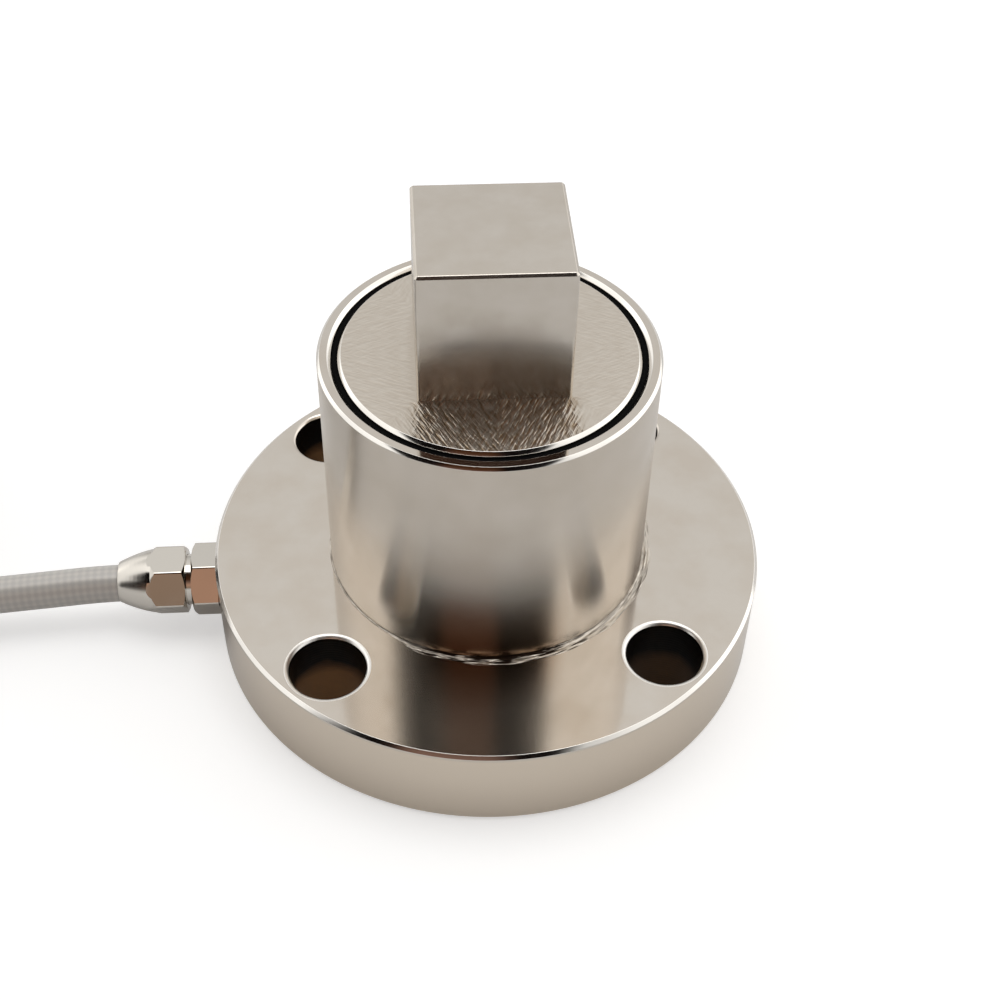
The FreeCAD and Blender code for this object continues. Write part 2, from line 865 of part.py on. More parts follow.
# Shrink sleeve at the jacket's end, and the loose leads that come out of it
sleeve_share = number(dim("end_sleeve_length")) / (2 * math.pi * first_turn)
sleeve_arc = Part.Arc(*[on_coil(last_turn + sleeve_share * k / 2) for k in (0, 1, 2)])
sleeve_wire = Part.Wire([sleeve_arc.toShape()])
sleeve_start = sleeve_arc.tangent(sleeve_arc.FirstParameter)[0]
sleeve_ring = Part.Circle(
    on_coil(last_turn), sleeve_start, coil_r + number(dim("end_sleeve_wall"))
)
shrink = sleeve_wire.makePipeShell([Part.Wire([sleeve_ring.toShape()])], True, True)
shape_node("end_sleeve", shrink.cut(coil).Solids[0])
tail_r = number(dim("tail_diameter")) / 2
tail_share = number(dim("tail_length")) / (2 * math.pi * first_turn)
for label, across, up, aside in (
    ("tail_green", -1.4, -1.1, -3.2),
    ("tail_red", -1.1, 1.0, -1.6),
    ("tail_screen", 0.0, 0.0, -0.1),
    ("tail_black", 0.8, 1.4, 1.4),
    ("tail_white", 1.3, -1.0, 2.9),
):
    run = []
    for share in (0, 0.3, 0.65, 1):
        place = on_coil(last_turn + sleeve_share + tail_share * share) - coil_centre
        out = V(place.x, place.y, 0).normalize()
        shift = across + (aside - across) * smooth(share * 1.3)
        drop = (shelf + tail_r + 0.1 - place.z - up) * smooth(share * 1.5)
        run.append(coil_centre + place + out * shift + V(0, 0, up + drop))
    tail = tube(run, tail_r)[1].cut(shrink)
    shape_node(label, max(tail.Solids, key=lambda solid: solid.Volume))

failed = []
doc.recompute()
os.makedirs("parts", exist_ok=True)
for thing in doc.Objects:
    if "Invalid" in thing.State or "Error" in thing.State:
        failed.append(thing.Label)
for thing in nodes:
    if thing.Shape.isNull() or not thing.Shape.isValid():
        failed.append(thing.Label)
if failed:
    raise RuntimeError("not built: " + ", ".join(failed))
for thing in nodes:
    thing.Shape.exportStep("parts/%s.step" % thing.Label)
    print(thing.Label, len(thing.Shape.Solids), round(thing.Shape.Volume, 2))
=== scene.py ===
import math

import bmesh
import bpy
from mathutils import Matrix, Vector, noise


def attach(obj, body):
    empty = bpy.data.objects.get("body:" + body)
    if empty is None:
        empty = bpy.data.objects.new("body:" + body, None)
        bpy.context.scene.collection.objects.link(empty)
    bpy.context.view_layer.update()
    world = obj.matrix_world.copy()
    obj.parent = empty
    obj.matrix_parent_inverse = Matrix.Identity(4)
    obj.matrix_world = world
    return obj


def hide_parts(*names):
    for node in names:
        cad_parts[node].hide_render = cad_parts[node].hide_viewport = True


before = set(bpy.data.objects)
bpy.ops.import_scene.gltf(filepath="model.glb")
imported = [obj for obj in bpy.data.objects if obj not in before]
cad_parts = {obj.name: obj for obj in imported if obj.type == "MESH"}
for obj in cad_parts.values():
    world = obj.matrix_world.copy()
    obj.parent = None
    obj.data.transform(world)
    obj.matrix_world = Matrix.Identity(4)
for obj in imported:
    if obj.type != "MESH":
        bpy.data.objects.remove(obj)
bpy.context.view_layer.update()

scene = bpy.context.scene
scene.view_settings.view_transform = "Standard"


# Stage: pale paper on a bench, a soft lamp overhead and pale walls. The side of the room
# behind the camera is dim, and the plated faces mirror it as a brown band.
def linear(code):
    """A colour written as sRGB hex, turned to linear."""
    parts = [int(code[i : i + 2], 16) / 255 for i in (1, 3, 5)]
    return [c / 12.92 if c <= 0.04045 else ((c + 0.055) / 1.055) ** 2.4 for c in parts] + [1]


def add(tree, kind, sockets, **settings):
    """A shader node with its settings. A socket takes a value, or another node's output."""
    made = tree.nodes.new("ShaderNode" + kind)
    for name, value in settings.items():
        setattr(made, name, value)
    for name, value in sockets.items():
        if isinstance(value, bpy.types.NodeSocket):
            tree.links.new(value, made.inputs[name])
        else:
            made.inputs[name].default_value = value
    return made


scene.world = bpy.data.worlds.new("studio")
scene.world.use_nodes = True
tree = scene.world.node_tree
tree.nodes.clear()
toward = add(tree, "TexCoord", {}).outputs["Generated"]
up = add(tree, "SeparateXYZ", {0: toward}).outputs["Z"]
level = add(tree, "VectorMath", {0: toward, 1: (1, 1, 0)}, operation="MULTIPLY")
level = add(tree, "VectorMath", {0: level.outputs[0]}, operation="NORMALIZE")
facing = add(
    tree, "VectorMath", {0: level.outputs[0], 1: (-0.267, -0.964, 0)}, operation="DOT_PRODUCT"
).outputs["Value"]

# The dim side: how far round it reaches at each height, with a soft edge, and a brown panel
# in the middle of it.
edge = add(tree, "MapRange", {0: up, 1: 0.42, 2: 0.52, 3: 0.62, 4: 0.75}).outputs[0]
above = add(tree, "MapRange", {0: up, 1: 0.52, 2: 0.68, 3: 0.75, 4: 0.46}).outputs[0]
edge = add(tree, "Math", {0: edge, 1: above}, operation="MINIMUM").outputs[0]
side = add(tree, "Math", {0: facing, 1: edge}, operation="SUBTRACT").outputs[0]
side = add(tree, "MapRange", {0: side, 1: -0.09, 2: 0.09}, interpolation_type="SMOOTHSTEP")
low = add(tree, "MapRange", {0: up, 1: 0.0, 2: 0.12}, interpolation_type="SMOOTHSTEP")
high = add(tree, "MapRange", {0: up, 1: 0.995, 2: 0.96}, interpolation_type="SMOOTHSTEP")
dusk = add(tree, "Math", {0: low.outputs[0], 1: high.outputs[0]}, operation="MULTIPLY")
dusk = add(tree, "Math", {0: dusk.outputs[0], 1: side.outputs[0]}, operation="MULTIPLY")
middle = add(tree, "MapRange", {0: facing, 1: 0.91, 2: 0.985}, interpolation_type="SMOOTHSTEP")
panel = add(tree, "ValToRGB", {0: up})
browns = [(0.12, "#937F6F"), (0.36, "#BB937C"), (0.58, "#71594F"), (0.7, "#482C1B"), (0.9, "#331F13")]
while len(panel.color_ramp.elements) < len(browns):
    panel.color_ramp.elements.new(0.5)
for stop, (at, code) in zip(panel.color_ramp.elements, browns):
    stop.position, stop.color = at, linear(code)
brown = add(
    tree, "Mix", {"Factor": middle.outputs[0], 6: linear("#0B0807"), 7: panel.outputs[0]}, data_type="RGBA"
)
room = add(
    tree, "Mix", {"Factor": dusk.outputs[0], 6: linear("#FFFEFC"), 7: brown.outputs[2]}, data_type="RGBA"
)

# The pale walls: brighter higher up and at both sides, with low panes of light at the back.
beside = add(
    tree, "VectorMath", {0: level.outputs[0], 1: (1, 0, 0)}, operation="DOT_PRODUCT"
).outputs["Value"]
across = add(tree, "Math", {0: beside}, operation="ABSOLUTE").outputs[0]
beside = add(tree, "MapRange", {0: across, 1: 0.6, 2: 0.9, 4: 0.4}, interpolation_type="SMOOTHSTEP")
aside = add(tree, "MapRange", {0: across, 1: 0.3, 2: 0.55, 4: 0.5}, interpolation_type="SMOOTHSTEP")
behind = add(tree, "MapRange", {0: facing, 1: 0.1, 2: -0.3}, interpolation_type="SMOOTHSTEP")
lower = add(tree, "MapRange", {0: up, 1: 0.62, 2: 0.45}, interpolation_type="SMOOTHSTEP")
panes = add(tree, "Math", {0: aside.outputs[0], 1: behind.outputs[0]}, operation="MULTIPLY")
panes = add(tree, "Math", {0: panes.outputs[0], 1: lower.outputs[0]}, operation="MULTIPLY")
height = add(tree, "MapRange", {0: up, 3: 0.48, 4: 0.95})
shine = add(tree, "Math", {0: height.outputs[0], 1: beside.outputs[0]}, operation="ADD")
shine = add(tree, "Math", {0: shine.outputs[0], 1: panes.outputs[0]}, operation="ADD")
shine = add(tree, "Mix", {"Factor": dusk.outputs[0], 2: shine.outputs[0], 3: 1.0}, data_type="FLOAT")
walls = add(tree, "Background", {"Color": room.outputs[2], "Strength": shine.outputs[0]})
white = add(tree, "Background", {"Color": (1, 1, 1, 1), "Strength": 1.0})
seen = add(tree, "LightPath", {}).outputs["Is Camera Ray"]
backdrop = add(tree, "MixShader", {0: seen, 1: walls.outputs[0], 2: white.outputs[0]})
add(tree, "OutputWorld", {"Surface": backdrop.outputs[0]})

# Paper: matt and pale. The camera and plated faces see it lifted to white, shadows stay.
bm = bmesh.new()
bmesh.ops.create_grid(bm, x_segments=1, y_segments=1, size=3)
floor = bpy.data.objects.new("floor", bpy.data.meshes.new("floor"))
bm.to_mesh(floor.data)
bm.free()
scene.collection.objects.link(floor)
paper = bpy.data.materials.new("pale_paper")
paper.use_nodes = True
tree = paper.node_tree
tree.nodes.clear()
ray = add(tree, "LightPath", {}).outputs
mirrored = add(
    tree, "Math", {0: ray["Is Glossy Ray"], 1: ray["Is Transmission Ray"]}, operation="MAXIMUM"
)
mirrored = add(tree, "Math", {0: mirrored.outputs[0], 1: 0.08}, operation="MULTIPLY")
lift = add(
    tree, "Math", {0: ray["Is Camera Ray"], 1: 0.5, 2: mirrored.outputs[0]}, operation="MULTIPLY_ADD"
)
glow = add(tree, "Emission", {"Color": (1, 1, 1, 1), "Strength": lift.outputs[0]})
matt = add(tree, "BsdfDiffuse", {"Color": linear("#D2D2D2")})
both = add(tree, "AddShader", {0: matt.outputs[0], 1: glow.outputs[0]})
add(tree, "OutputMaterial", {"Surface": both.outputs[0]})
floor.data.materials.append(paper)

# A soft lamp overhead, and the camera, placed by fitting the edges of flange, sleeve and square.
lamp = bpy.data.objects.new("lamp", bpy.data.lights.new("lamp", "AREA"))
lamp.data.size = 0.45
lamp.data.energy = 1.0
lamp.location = (0, 0.1, 0.75)
scene.collection.objects.link(lamp)

camera = bpy.data.objects.new("camera", bpy.data.cameras.new("camera"))
camera.location = (-0.012266, -0.163467, 0.184233)
camera.rotation_euler = [math.radians(a) for a in (45.29354, -1.03807, -3.89907)]
camera.data.sensor_fit = "HORIZONTAL"
camera.data.sensor_width = 36
camera.data.lens = 57.3023
camera.data.clip_start = 0.01
scene.collection.objects.link(camera)
scene.camera = camera


# Cable: a screened lead, four cores in a tinned copper braid under a clear soft jacket.
# It is clamped in the gland, runs off over the bench, and the rest is wound up and tied.
MM = 0.001
cable_r = 2.75
gland_height = 7.5
lead = [
    (-33.1, 0, gland_height),
    (-54.5, 0, gland_height),
    (-66, -0.6, 6.9),
    (-79, -1.2, 6.3),
    (-100, -12, 4.2),
    (-118, -18, 3.35),
    (-130, -18, 3.35),
]
coil_centre = Vector((-135, 26.2, 0))
outer_turn, inner_turn, pitch, layer_step, bed = 44.2, 24.99, 5.65, 5.55, 3.35
layer_turns, climb, layers, last_turn, per_turn = 3.4, 0.75, 4, 13.33, 24


def ease(x):
    """0 to 1 with soft ends."""
    x = min(max(x, 0), 1)
    return x * x * (3 - 2 * x)


def on_coil(turn, widen=1.0):
    """A point of the wound cable: it winds in, climbs a layer, winds out, and so on."""
    layer = min(int(turn / layer_turns), layers - 1)
    along = turn - layer * layer_turns
    radius = outer_turn - pitch * along if layer % 2 == 0 else inner_turn + pitch * along
    rise = sum(ease((turn - layer_turns * k) / climb + 0.5) for k in range(1, layers))
    angle = math.radians(-90) - math.tau * turn
    flat = Vector((math.cos(angle), math.sin(angle), 0)) * radius * widen
    return coil_centre + flat + Vector((0, 0, bed + layer_step * rise))


def tube(name, points, radius, sides=16, steps=6):
    """A mesh tube along a smooth curve with these control points, and the line it follows.

    Its UV map runs along it in metres, and once round it from 0 to 1.
    """
    curve = bpy.data.curves.new(name, "CURVE")
    curve.dimensions = "3D"
    curve.resolution_u = steps
    spline = curve.splines.new("NURBS")
    spline.points.add(len(points) - 1)
    for knot, point in zip(spline.points, points):
        knot.co = (*(Vector(point) * MM), 1)
    spline.order_u = 3
    spline.use_endpoint_u = True
    line = bpy.data.objects.new(name + "_line", curve)
    path = [v.co.copy() for v in bpy.data.meshes.new_from_object(line).vertices]
    curve.bevel_depth = radius * MM
    curve.bevel_resolution = sides // 2 - 2
    curve.use_fill_caps = True
    mesh = bpy.data.meshes.new_from_object(line)
    mesh.name = name
    bpy.data.objects.remove(line)
    metres = [0.0]
    for a, b in zip(path, path[1:]):
        metres.append(metres[-1] + (b - a).length)
    for loop, corner in zip(mesh.loops, mesh.uv_layers[0].data):
        if loop.vertex_index >= 2 * sides:
            corner.uv.x = metres[loop.vertex_index // sides - 2]
    piece = bpy.data.objects.new(name, mesh)
    scene.collection.objects.link(piece)
    return piece, path


half_step = math.cos(math.pi / per_turn)
turns = [on_coil((k + 0.5) / per_turn, 1 / half_step) for k in range(int(last_turn * per_turn))]
mm_turn = 1 / (math.tau * outer_turn)
cable, cable_path = tube("cable", lead + turns + [on_coil(last_turn + 5 * mm_turn)], cable_r)


def finish(name, colour, metallic, roughness):
    """A new material with these values, its nodes, its shader and the piece's own coordinates."""
    made = bpy.data.materials.new(name)
    made.use_nodes = True
    tree = made.node_tree
    shader = tree.nodes["Principled BSDF"]
    shader.inputs["Base Color"].default_value = linear(colour)
    shader.inputs["Metallic"].default_value = metallic
    shader.inputs["Roughness"].default_value = roughness
    return made, tree, shader, add(tree, "TexCoord", {}).outputs["Object"]


# Clear PVC over tinned braid: grey with a faint lattice, under a soft gloss of its own.
# The bundles of braid are 1.1 mm wide, 16 of them round the cable, crossing at 45 degrees.
jacket, tree, shader, place = finish("clear_jacket_over_braid", "#C3C0BA", 0.15, 0.42)
bundles = 16
bundle = math.tau * cable_r / bundles * MM
run = add(tree, "SeparateXYZ", {0: add(tree, "UVMap", {}, uv_map="UVMap").outputs[0]}).outputs
along = add(tree, "Math", {0: run["X"], 1: math.pi / bundle}, operation="MULTIPLY").outputs[0]
around = add(tree, "Math", {0: run["Y"], 1: math.pi * bundles}, operation="MULTIPLY").outputs[0]
left = add(tree, "Math", {0: along, 1: around}, operation="ADD").outputs[0]
right = add(tree, "Math", {0: along, 1: around}, operation="SUBTRACT").outputs[0]
left = add(tree, "Math", {0: left}, operation="SINE").outputs[0]
right = add(tree, "Math", {0: right}, operation="SINE").outputs[0]
weave = add(tree, "Math", {0: left, 1: right}, operation="MULTIPLY").outputs[0]
bright = add(tree, "MapRange", {0: weave, 1: -0.6, 2: 0.9}).outputs[0]
tone = add(tree, "Mix", {"Factor": bright, 6: linear("#BBB8B4"), 7: linear("#CBC7C1")}, data_type="RGBA")
tree.links.new(tone.outputs[2], shader.inputs["Base Color"])
raised = add(tree, "Bump", {"Height": weave, "Strength": 0.06, "Distance": 0.00004})
tree.links.new(raised.outputs[0], shader.inputs["Normal"])
shader.inputs["Coat Weight"].default_value = 0.5
shader.inputs["Coat Roughness"].default_value = 0.18
cable.data.materials.append(jacket)
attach(cable, "root")
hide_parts("cable_lead", "cable_coil")


# Sensor body: flange, shaft, collar and drive square from one bar of steel, nickel plated.
# Turned, then the square is milled and ground on it, and four bolt holes are drilled.
steel_steps = 192


def piece_of(name, bm):
    """A piece in the scene with this shape, shaded smooth."""
    for face in bm.faces:
        face.smooth = True
    made = bpy.data.objects.new(name, bpy.data.meshes.new(name))
    bm.to_mesh(made.data)
    bm.free()
    scene.collection.objects.link(made)
    return made


def turned(name, corners, steps=steel_steps, cut=0.1, move=Matrix()):
    """A piece turned about Z from (radius, height) corners, each edge broken by a small cut."""
    bm = bmesh.new()
    ring = []
    corners = [Vector((r, 0, z)) * MM for r, z in corners]
    for a, p, b in zip(corners[-1:] + corners[:-1], corners, corners[1:] + corners[:1]):
        if p.x == 0:
            ring.append(bm.verts.new(p))
            continue
        reach = [min(cut * MM, 0.4 * (q - p).length) for q in (a, b)]
        start, end = (p + (q - p).normalized() * t for q, t in zip((a, b), reach))
        for share in (0, 1 / 3, 2 / 3, 1) if cut else (0,):
            ring.append(bm.verts.new(start.lerp(p, share).lerp(p.lerp(end, share), share)))
    sides = [s for s in zip(ring, ring[1:] + ring[:1]) if s[0].co.x or s[1].co.x]
    edges = [bm.edges.new(s) for s in sides]
    bmesh.ops.spin(
        bm, geom=ring + edges, cent=(0, 0, 0), axis=(0, 0, 1), angle=math.tau, steps=steps, use_merge=True
    )
    bmesh.ops.remove_doubles(bm, verts=bm.verts, dist=1e-7)
    bmesh.ops.recalc_face_normals(bm, faces=bm.faces)
    bmesh.ops.transform(bm, matrix=move, verts=bm.verts)
    return piece_of(name, bm)


def worked(piece, *steps):
    """The piece after tools are joined to it, cut from it or met with it. The tools go."""
    for tool, operation in steps:
        step = piece.modifiers.new(operation, "BOOLEAN")
        step.operation, step.solver, step.object = operation, "EXACT", tool
    graph = bpy.context.evaluated_depsgraph_get()
    shape = bpy.data.meshes.new_from_object(piece.evaluated_get(graph), depsgraph=graph)
    shape.name = piece.name
    piece.modifiers.clear()
    piece.data = shape
    for tool, operation in steps:
        bpy.data.objects.remove(tool)
    shape.shade_smooth()
    shape.set_sharp_from_angle(angle=math.radians(32))
    even = piece.modifiers.new("even", "WEIGHTED_NORMAL")
    even.weight, even.keep_sharp = 100, True
    return piece


flange_r, flange_top, foot_cut, rim_cut = 40, 14, 0.7, 0.45
pilot_r, pilot_depth, register_r, register_top = 15, 3, 21, 15
collar_r, collar_top, guide_r, guide_bottom, guide_top = 20.25, 50, 20.8, 43, 47
shaft_r = 12
shaft = [(15, register_top), (13.5, 15.4), (12.4, 16.5), (shaft_r, 18)]
shaft += [(shaft_r, 40), (12.4, 41.5), (13.5, 42.6), (15, guide_bottom)]
body = turned(
    "sensor_body_steel",
    [
        (0, pilot_depth),
        (pilot_r, pilot_depth),
        (pilot_r, 0),
        (flange_r - foot_cut, 0),
        (flange_r, foot_cut),
        (flange_r, flange_top - rim_cut),
        (flange_r - rim_cut, flange_top),
        (register_r, flange_top),
        (register_r, register_top),
        *shaft,
        (guide_r, guide_bottom),
        (guide_r, guide_top),
        (collar_r, guide_top),
        (collar_r, collar_top - rim_cut),
        (collar_r - rim_cut, collar_top),
        (0, collar_top),
    ],
    cut=0.04,
)

square_top, square_half, sunk = 69.5, 10, 1
bm = bmesh.new()
bmesh.ops.create_cube(
    bm,
    size=1,
    matrix=Matrix.Translation((0, 0, (collar_top - sunk + square_top) / 2 * MM))
    @ Matrix.Diagonal((*[2 * square_half * MM] * 2, (square_top - collar_top + sunk) * MM, 1)),
)
upright = [e for e in bm.edges if abs(e.verts[0].co.z - e.verts[1].co.z) > MM]
bmesh.ops.bevel(
    bm, geom=upright, offset=0.5 * MM, segments=3, profile=0.5, affect="EDGES", material=-1
)
for below, offset, segments in ((0.1, 0.36, 1), (0.01, 0.1, 2)):
    upper = [e for e in bm.edges if min(v.co.z for v in e.verts) > (square_top - below) * MM]
    bmesh.ops.bevel(
        bm, geom=upper, offset=offset * MM, segments=segments, profile=0.5, affect="EDGES", material=-1
    )
square = piece_of("square", bm)

hole_r, hole_circle_r, mouth_round = 5.25, 33, 0.75
hole_turns = [Matrix.Rotation(math.radians(45 + 90 * k), 4, "Z") for k in range(4)]
hole_spots = [turn @ Vector((hole_circle_r, 0, 0)) for turn in hole_turns]
mouth_r = hole_r + mouth_round
quarter = [math.radians(15 * k) for k in range(7)]
mouth = [
    (mouth_r - mouth_round * math.cos(a), flange_top - mouth_round * (1 - math.sin(a)))
    for a in quarter
]
hole = [(0, -1), (hole_r, -1), *mouth, (6.2, 15), (0, 15)]
holes = [turned("hole", hole, 96, 0, Matrix.Translation(spot * MM)) for spot in hole_spots]

# The gland's tapped hole, the way in for the cores, and the riser that takes them up.
tap_r, tap_end, seat, seat_r = 4, 30.4, 39.4, 5.7
way_r, way_end, riser_off = 2.25, 15.8, 18.05
sideways = Matrix.Translation((0, 0, gland_height * MM)) @ Matrix.Rotation(math.radians(-90), 4, "Y")
tap = [(0, tap_end), (tap_r, tap_end), (tap_r, seat), (seat_r, seat), (seat_r, 42), (0, 42)]
tap = turned("tap", tap, 64, 0, sideways)
passage = [(0, way_end), (way_r, way_end), (way_r, 31), (0, 31)]
passage = turned("passage", passage, 48, 0, sideways)
riser = [(0, gland_height), (way_r, gland_height), (way_r, 16), (0, 16)]
riser = turned("riser", riser, 48, 0, Matrix.Translation((-riser_off * MM, 0, 0)))
cuts = [(tool, "DIFFERENCE") for tool in (*holes, tap, passage, riser)]
worked(body, (square, "UNION"), *cuts)

# Nickel plate on turned steel: warm white metal, a clear mirror with a slight haze in patches
# some 6 mm across. The turning stretches what it mirrors toward and away from the axis, and
# the flange's side, below 13 mm, is a little paler and warmer than the faces.
plate, tree, shader, place = finish("nickel_plate_on_turned_steel", "#D7CFC6", 1.0, 0.08)
patches = add(tree, "TexNoise", {"Vector": place, "Scale": 1 / 0.006, "Detail": 3.0}).outputs[0]
haze = add(tree, "MapRange", {0: patches, 1: 0.35, 2: 0.7, 3: 0.06, 4: 0.1}).outputs[0]
tree.links.new(haze, shader.inputs["Roughness"])
tint = add(tree, "MapRange", {0: patches, 1: 0.35, 2: 0.7}).outputs[0]
tint = add(
    tree, "Mix", {"Factor": tint, 6: linear("#D8D1C8"), 7: linear("#D3CABF")}, data_type="RGBA"
)
below = add(tree, "SeparateXYZ", {0: place}).outputs["Z"]
below = add(tree, "MapRange", {0: below, 1: 0.0135, 2: 0.013}).outputs[0]
tint = add(tree, "Mix", {"Factor": below, 6: tint.outputs[2], 7: linear("#E6DACA")}, data_type="RGBA")
tree.links.new(tint.outputs[2], shader.inputs["Base Color"])
round_axis = add(tree, "VectorMath", {0: (0, 0, 1), 1: place}, operation="CROSS_PRODUCT")
tree.links.new(round_axis.outputs[0], shader.inputs["Tangent"])
shader.inputs["Anisotropic"].default_value = 0.5
shader.inputs["Anisotropic Rotation"].default_value = 0.25

# Drilled bore: bare steel, ringed by the drill every 0.5 mm. Its colour holds painted shade
# and light: near black high up, in the shade of its own walls, and painted brown light from
# the paper low down, more in the left holes. On the outer side of the front holes it is dull
# and pale, a painted light for what that wall mirrors.
drilled, tree, shader, place = finish("drilled_bore_painted_shade_and_light", "#34281F", 0.7, 0.45)
up = add(tree, "SeparateXYZ", {0: place}).outputs["Z"]
rings = add(tree, "Math", {0: up, 1: math.tau / 0.0005}, operation="MULTIPLY")
rings = add(tree, "Math", {0: rings.outputs[0]}, operation="SINE").outputs[0]
grooves = add(tree, "Bump", {"Height": rings, "Strength": 0.1, "Distance": 0.00005})
tree.links.new(grooves.outputs[0], shader.inputs["Normal"])
# Painted shade and light by height: black in the upper bore, brown below, more at the left.
bounce_depth = add(tree, "TexNoise", {"Vector": place, "Scale": 1 / 0.005, "Detail": 1.0}).outputs[0]
bounce_depth = add(tree, "Math", {0: bounce_depth, 1: 0.003, 2: up}, operation="MULTIPLY_ADD").outputs[0]
deep = add(tree, "MapRange", {0: bounce_depth, 1: 0.0105, 2: 0.008}).outputs[0]
bounce_by_side = add(tree, "SeparateXYZ", {0: place}).outputs["X"]
bounce_by_side = add(tree, "MapRange", {0: bounce_by_side, 1: -0.02, 2: 0.02, 3: 0.85, 4: 0.25}).outputs[0]
deep = add(tree, "Math", {0: deep, 1: bounce_by_side}, operation="MULTIPLY").outputs[0]
deep = add(tree, "Mix", {"Factor": deep, 6: linear("#0B0705"), 7: linear("#A57C52")}, data_type="RGBA")
spot = add(tree, "SeparateXYZ", {0: place}).outputs
# Painted light: the outer side of the front holes, pale and not metal.
painted_light_side = add(tree, "Math", {0: spot["X"]}, operation="ABSOLUTE").outputs[0]
painted_light_side = add(tree, "Math", {0: painted_light_side, 1: 0.44}, operation="MULTIPLY").outputs[0]
painted_light_side = add(tree, "Math", {0: painted_light_side, 1: spot["Y"]}, operation="SUBTRACT").outputs[0]
painted_light_side = add(tree, "MapRange", {0: painted_light_side, 1: 0.0368, 2: 0.038}).outputs[0]
deep = add(tree, "Mix", {"Factor": painted_light_side, 6: deep.outputs[2], 7: linear("#F6DDB8")}, data_type="RGBA")
tree.links.new(deep.outputs[2], shader.inputs["Base Color"])
metal = add(tree, "MapRange", {0: painted_light_side, 3: 0.7, 4: 0.0}).outputs[0]
tree.links.new(metal, shader.inputs["Metallic"])

# Milled collar face: a cutter has gone round the square, and in front of it the strokes lean
# in toward the middle, 0.4 mm wide and 2 mm long. Plated over, it is duller than turned faces.
milled, tree, shader, place = finish("nickel_plate_on_milled_face", "#D3CBC0", 1.0, 0.28)
flat = add(tree, "VectorMath", {0: place}, operation="ABSOLUTE").outputs[0]
flat = add(tree, "SeparateXYZ", {0: flat}).outputs
far = add(tree, "Math", {0: flat["X"], 1: flat["Y"]}, operation="MAXIMUM").outputs[0]
near = add(tree, "Math", {0: flat["X"], 1: flat["Y"]}, operation="MINIMUM").outputs[0]
half = add(tree, "SeparateXYZ", {0: place}).outputs["X"]
half = add(tree, "Math", {0: half}, operation="SIGN").outputs[0]
strokes = []
for lean, slip, weight in ((0.45, 0.02, 1.0), (-0.45, 0.07, 0.5)):
    slip = add(tree, "Math", {0: half, 1: slip}, operation="MULTIPLY").outputs[0]
    lag = add(tree, "Math", {0: far, 1: lean, 2: near}, operation="MULTIPLY_ADD").outputs[0]
    lag = add(tree, "CombineXYZ", {"X": lag, "Y": far, "Z": slip}).outputs[0]
    lag = add(tree, "VectorMath", {0: lag, 1: (1, 0.2, 1)}, operation="MULTIPLY").outputs[0]
    stroke = add(tree, "TexNoise", {"Vector": lag, "Scale": 1 / 0.0004, "Detail": 1.0}).outputs[0]
    strokes.append(add(tree, "Math", {0: stroke, 1: weight}, operation="MULTIPLY").outputs[0])
strokes = add(tree, "Math", {0: strokes[0], 1: strokes[1]}, operation="ADD").outputs[0]
aside = add(tree, "MapRange", {0: flat["X"], 1: 0.0112, 2: 0.0095}).outputs[0]
front = add(tree, "SeparateXYZ", {0: place}).outputs["Y"]
front = add(tree, "MapRange", {0: front, 1: -0.0098, 2: -0.0102}).outputs[0]
front = add(tree, "Math", {0: front, 1: aside}, operation="MULTIPLY").outputs[0]
cleft = add(tree, "MapRange", {0: front, 3: 0.18, 4: 1.0}).outputs[0]
shade = add(tree, "MapRange", {0: strokes, 1: 0.95, 2: 0.55}).outputs[0]
shade = add(tree, "Math", {0: shade, 1: cleft}, operation="MULTIPLY").outputs[0]
shade = add(tree, "Mix", {"Factor": shade, 6: linear("#D6CEC3"), 7: linear("#A08C74")}, data_type="RGBA")
tree.links.new(shade.outputs[2], shader.inputs["Base Color"])
dull = add(tree, "MapRange", {0: front, 3: 0.28, 4: 0.34}).outputs[0]
tree.links.new(dull, shader.inputs["Roughness"])
strokes = add(tree, "Math", {0: strokes, 1: 0.75}, operation="SUBTRACT").outputs[0]
strokes = add(tree, "Math", {0: strokes, 1: cleft}, operation="MULTIPLY").outputs[0]
scores = add(tree, "Bump", {"Height": strokes, "Strength": 1.0, "Distance": 0.0002})
tree.links.new(scores.outputs[0], shader.inputs["Normal"])

# Ground drive square: plate over fine grinding, a soft mirror with cloudy patches of 4 mm.
ground, tree, shader, place = finish("nickel_plate_on_ground_square", "#D5CDC3", 1.0, 0.2)
clouds = add(tree, "TexNoise", {"Vector": place, "Scale": 1 / 0.004, "Detail": 4.0}).outputs[0]
haze = add(tree, "MapRange", {0: clouds, 1: 0.3, 2: 0.7, 3: 0.2, 4: 0.265}).outputs[0]
tree.links.new(haze, shader.inputs["Roughness"])
tint = add(tree, "MapRange", {0: clouds, 1: 0.3, 2: 0.7}).outputs[0]
tint = add(
    tree, "Mix", {"Factor": tint, 6: linear("#D7D0C7"), 7: linear("#CFC7BC")}, data_type="RGBA"
)
tree.links.new(tint.outputs[2], shader.inputs["Base Color"])

# Deburred edge: the rounded mouth of a hole, rubbed bright in specks of 0.8 mm.
rubbed, tree, shader, place = finish("rubbed_bright_edge", "#F4F1EC", 1.0, 0.3)
specks = add(tree, "TexNoise", {"Vector": place, "Scale": 1 / 0.0008, "Detail": 2.0}).outputs[0]
haze = add(tree, "MapRange", {0: specks, 1: 0.3, 2: 0.7, 3: 0.28, 4: 0.38}).outputs[0]
tree.links.new(haze, shader.inputs["Roughness"])

# Polished rim: the cut rims of flange, collar and sleeve. Bright plate, hazed every 2 mm, that
# lights up as a line at the sides and goes dark in front, where it mirrors the dim side.
polished, tree, shader, place = finish("polished_nickel_rim", "#F2EEE8", 1.0, 0.1)
specks = add(tree, "TexNoise", {"Vector": place, "Scale": 1 / 0.002, "Detail": 2.0}).outputs[0]
haze = add(tree, "MapRange", {0: specks, 1: 0.3, 2: 0.7, 3: 0.08, 4: 0.14}).outputs[0]
tree.links.new(haze, shader.inputs["Roughness"])

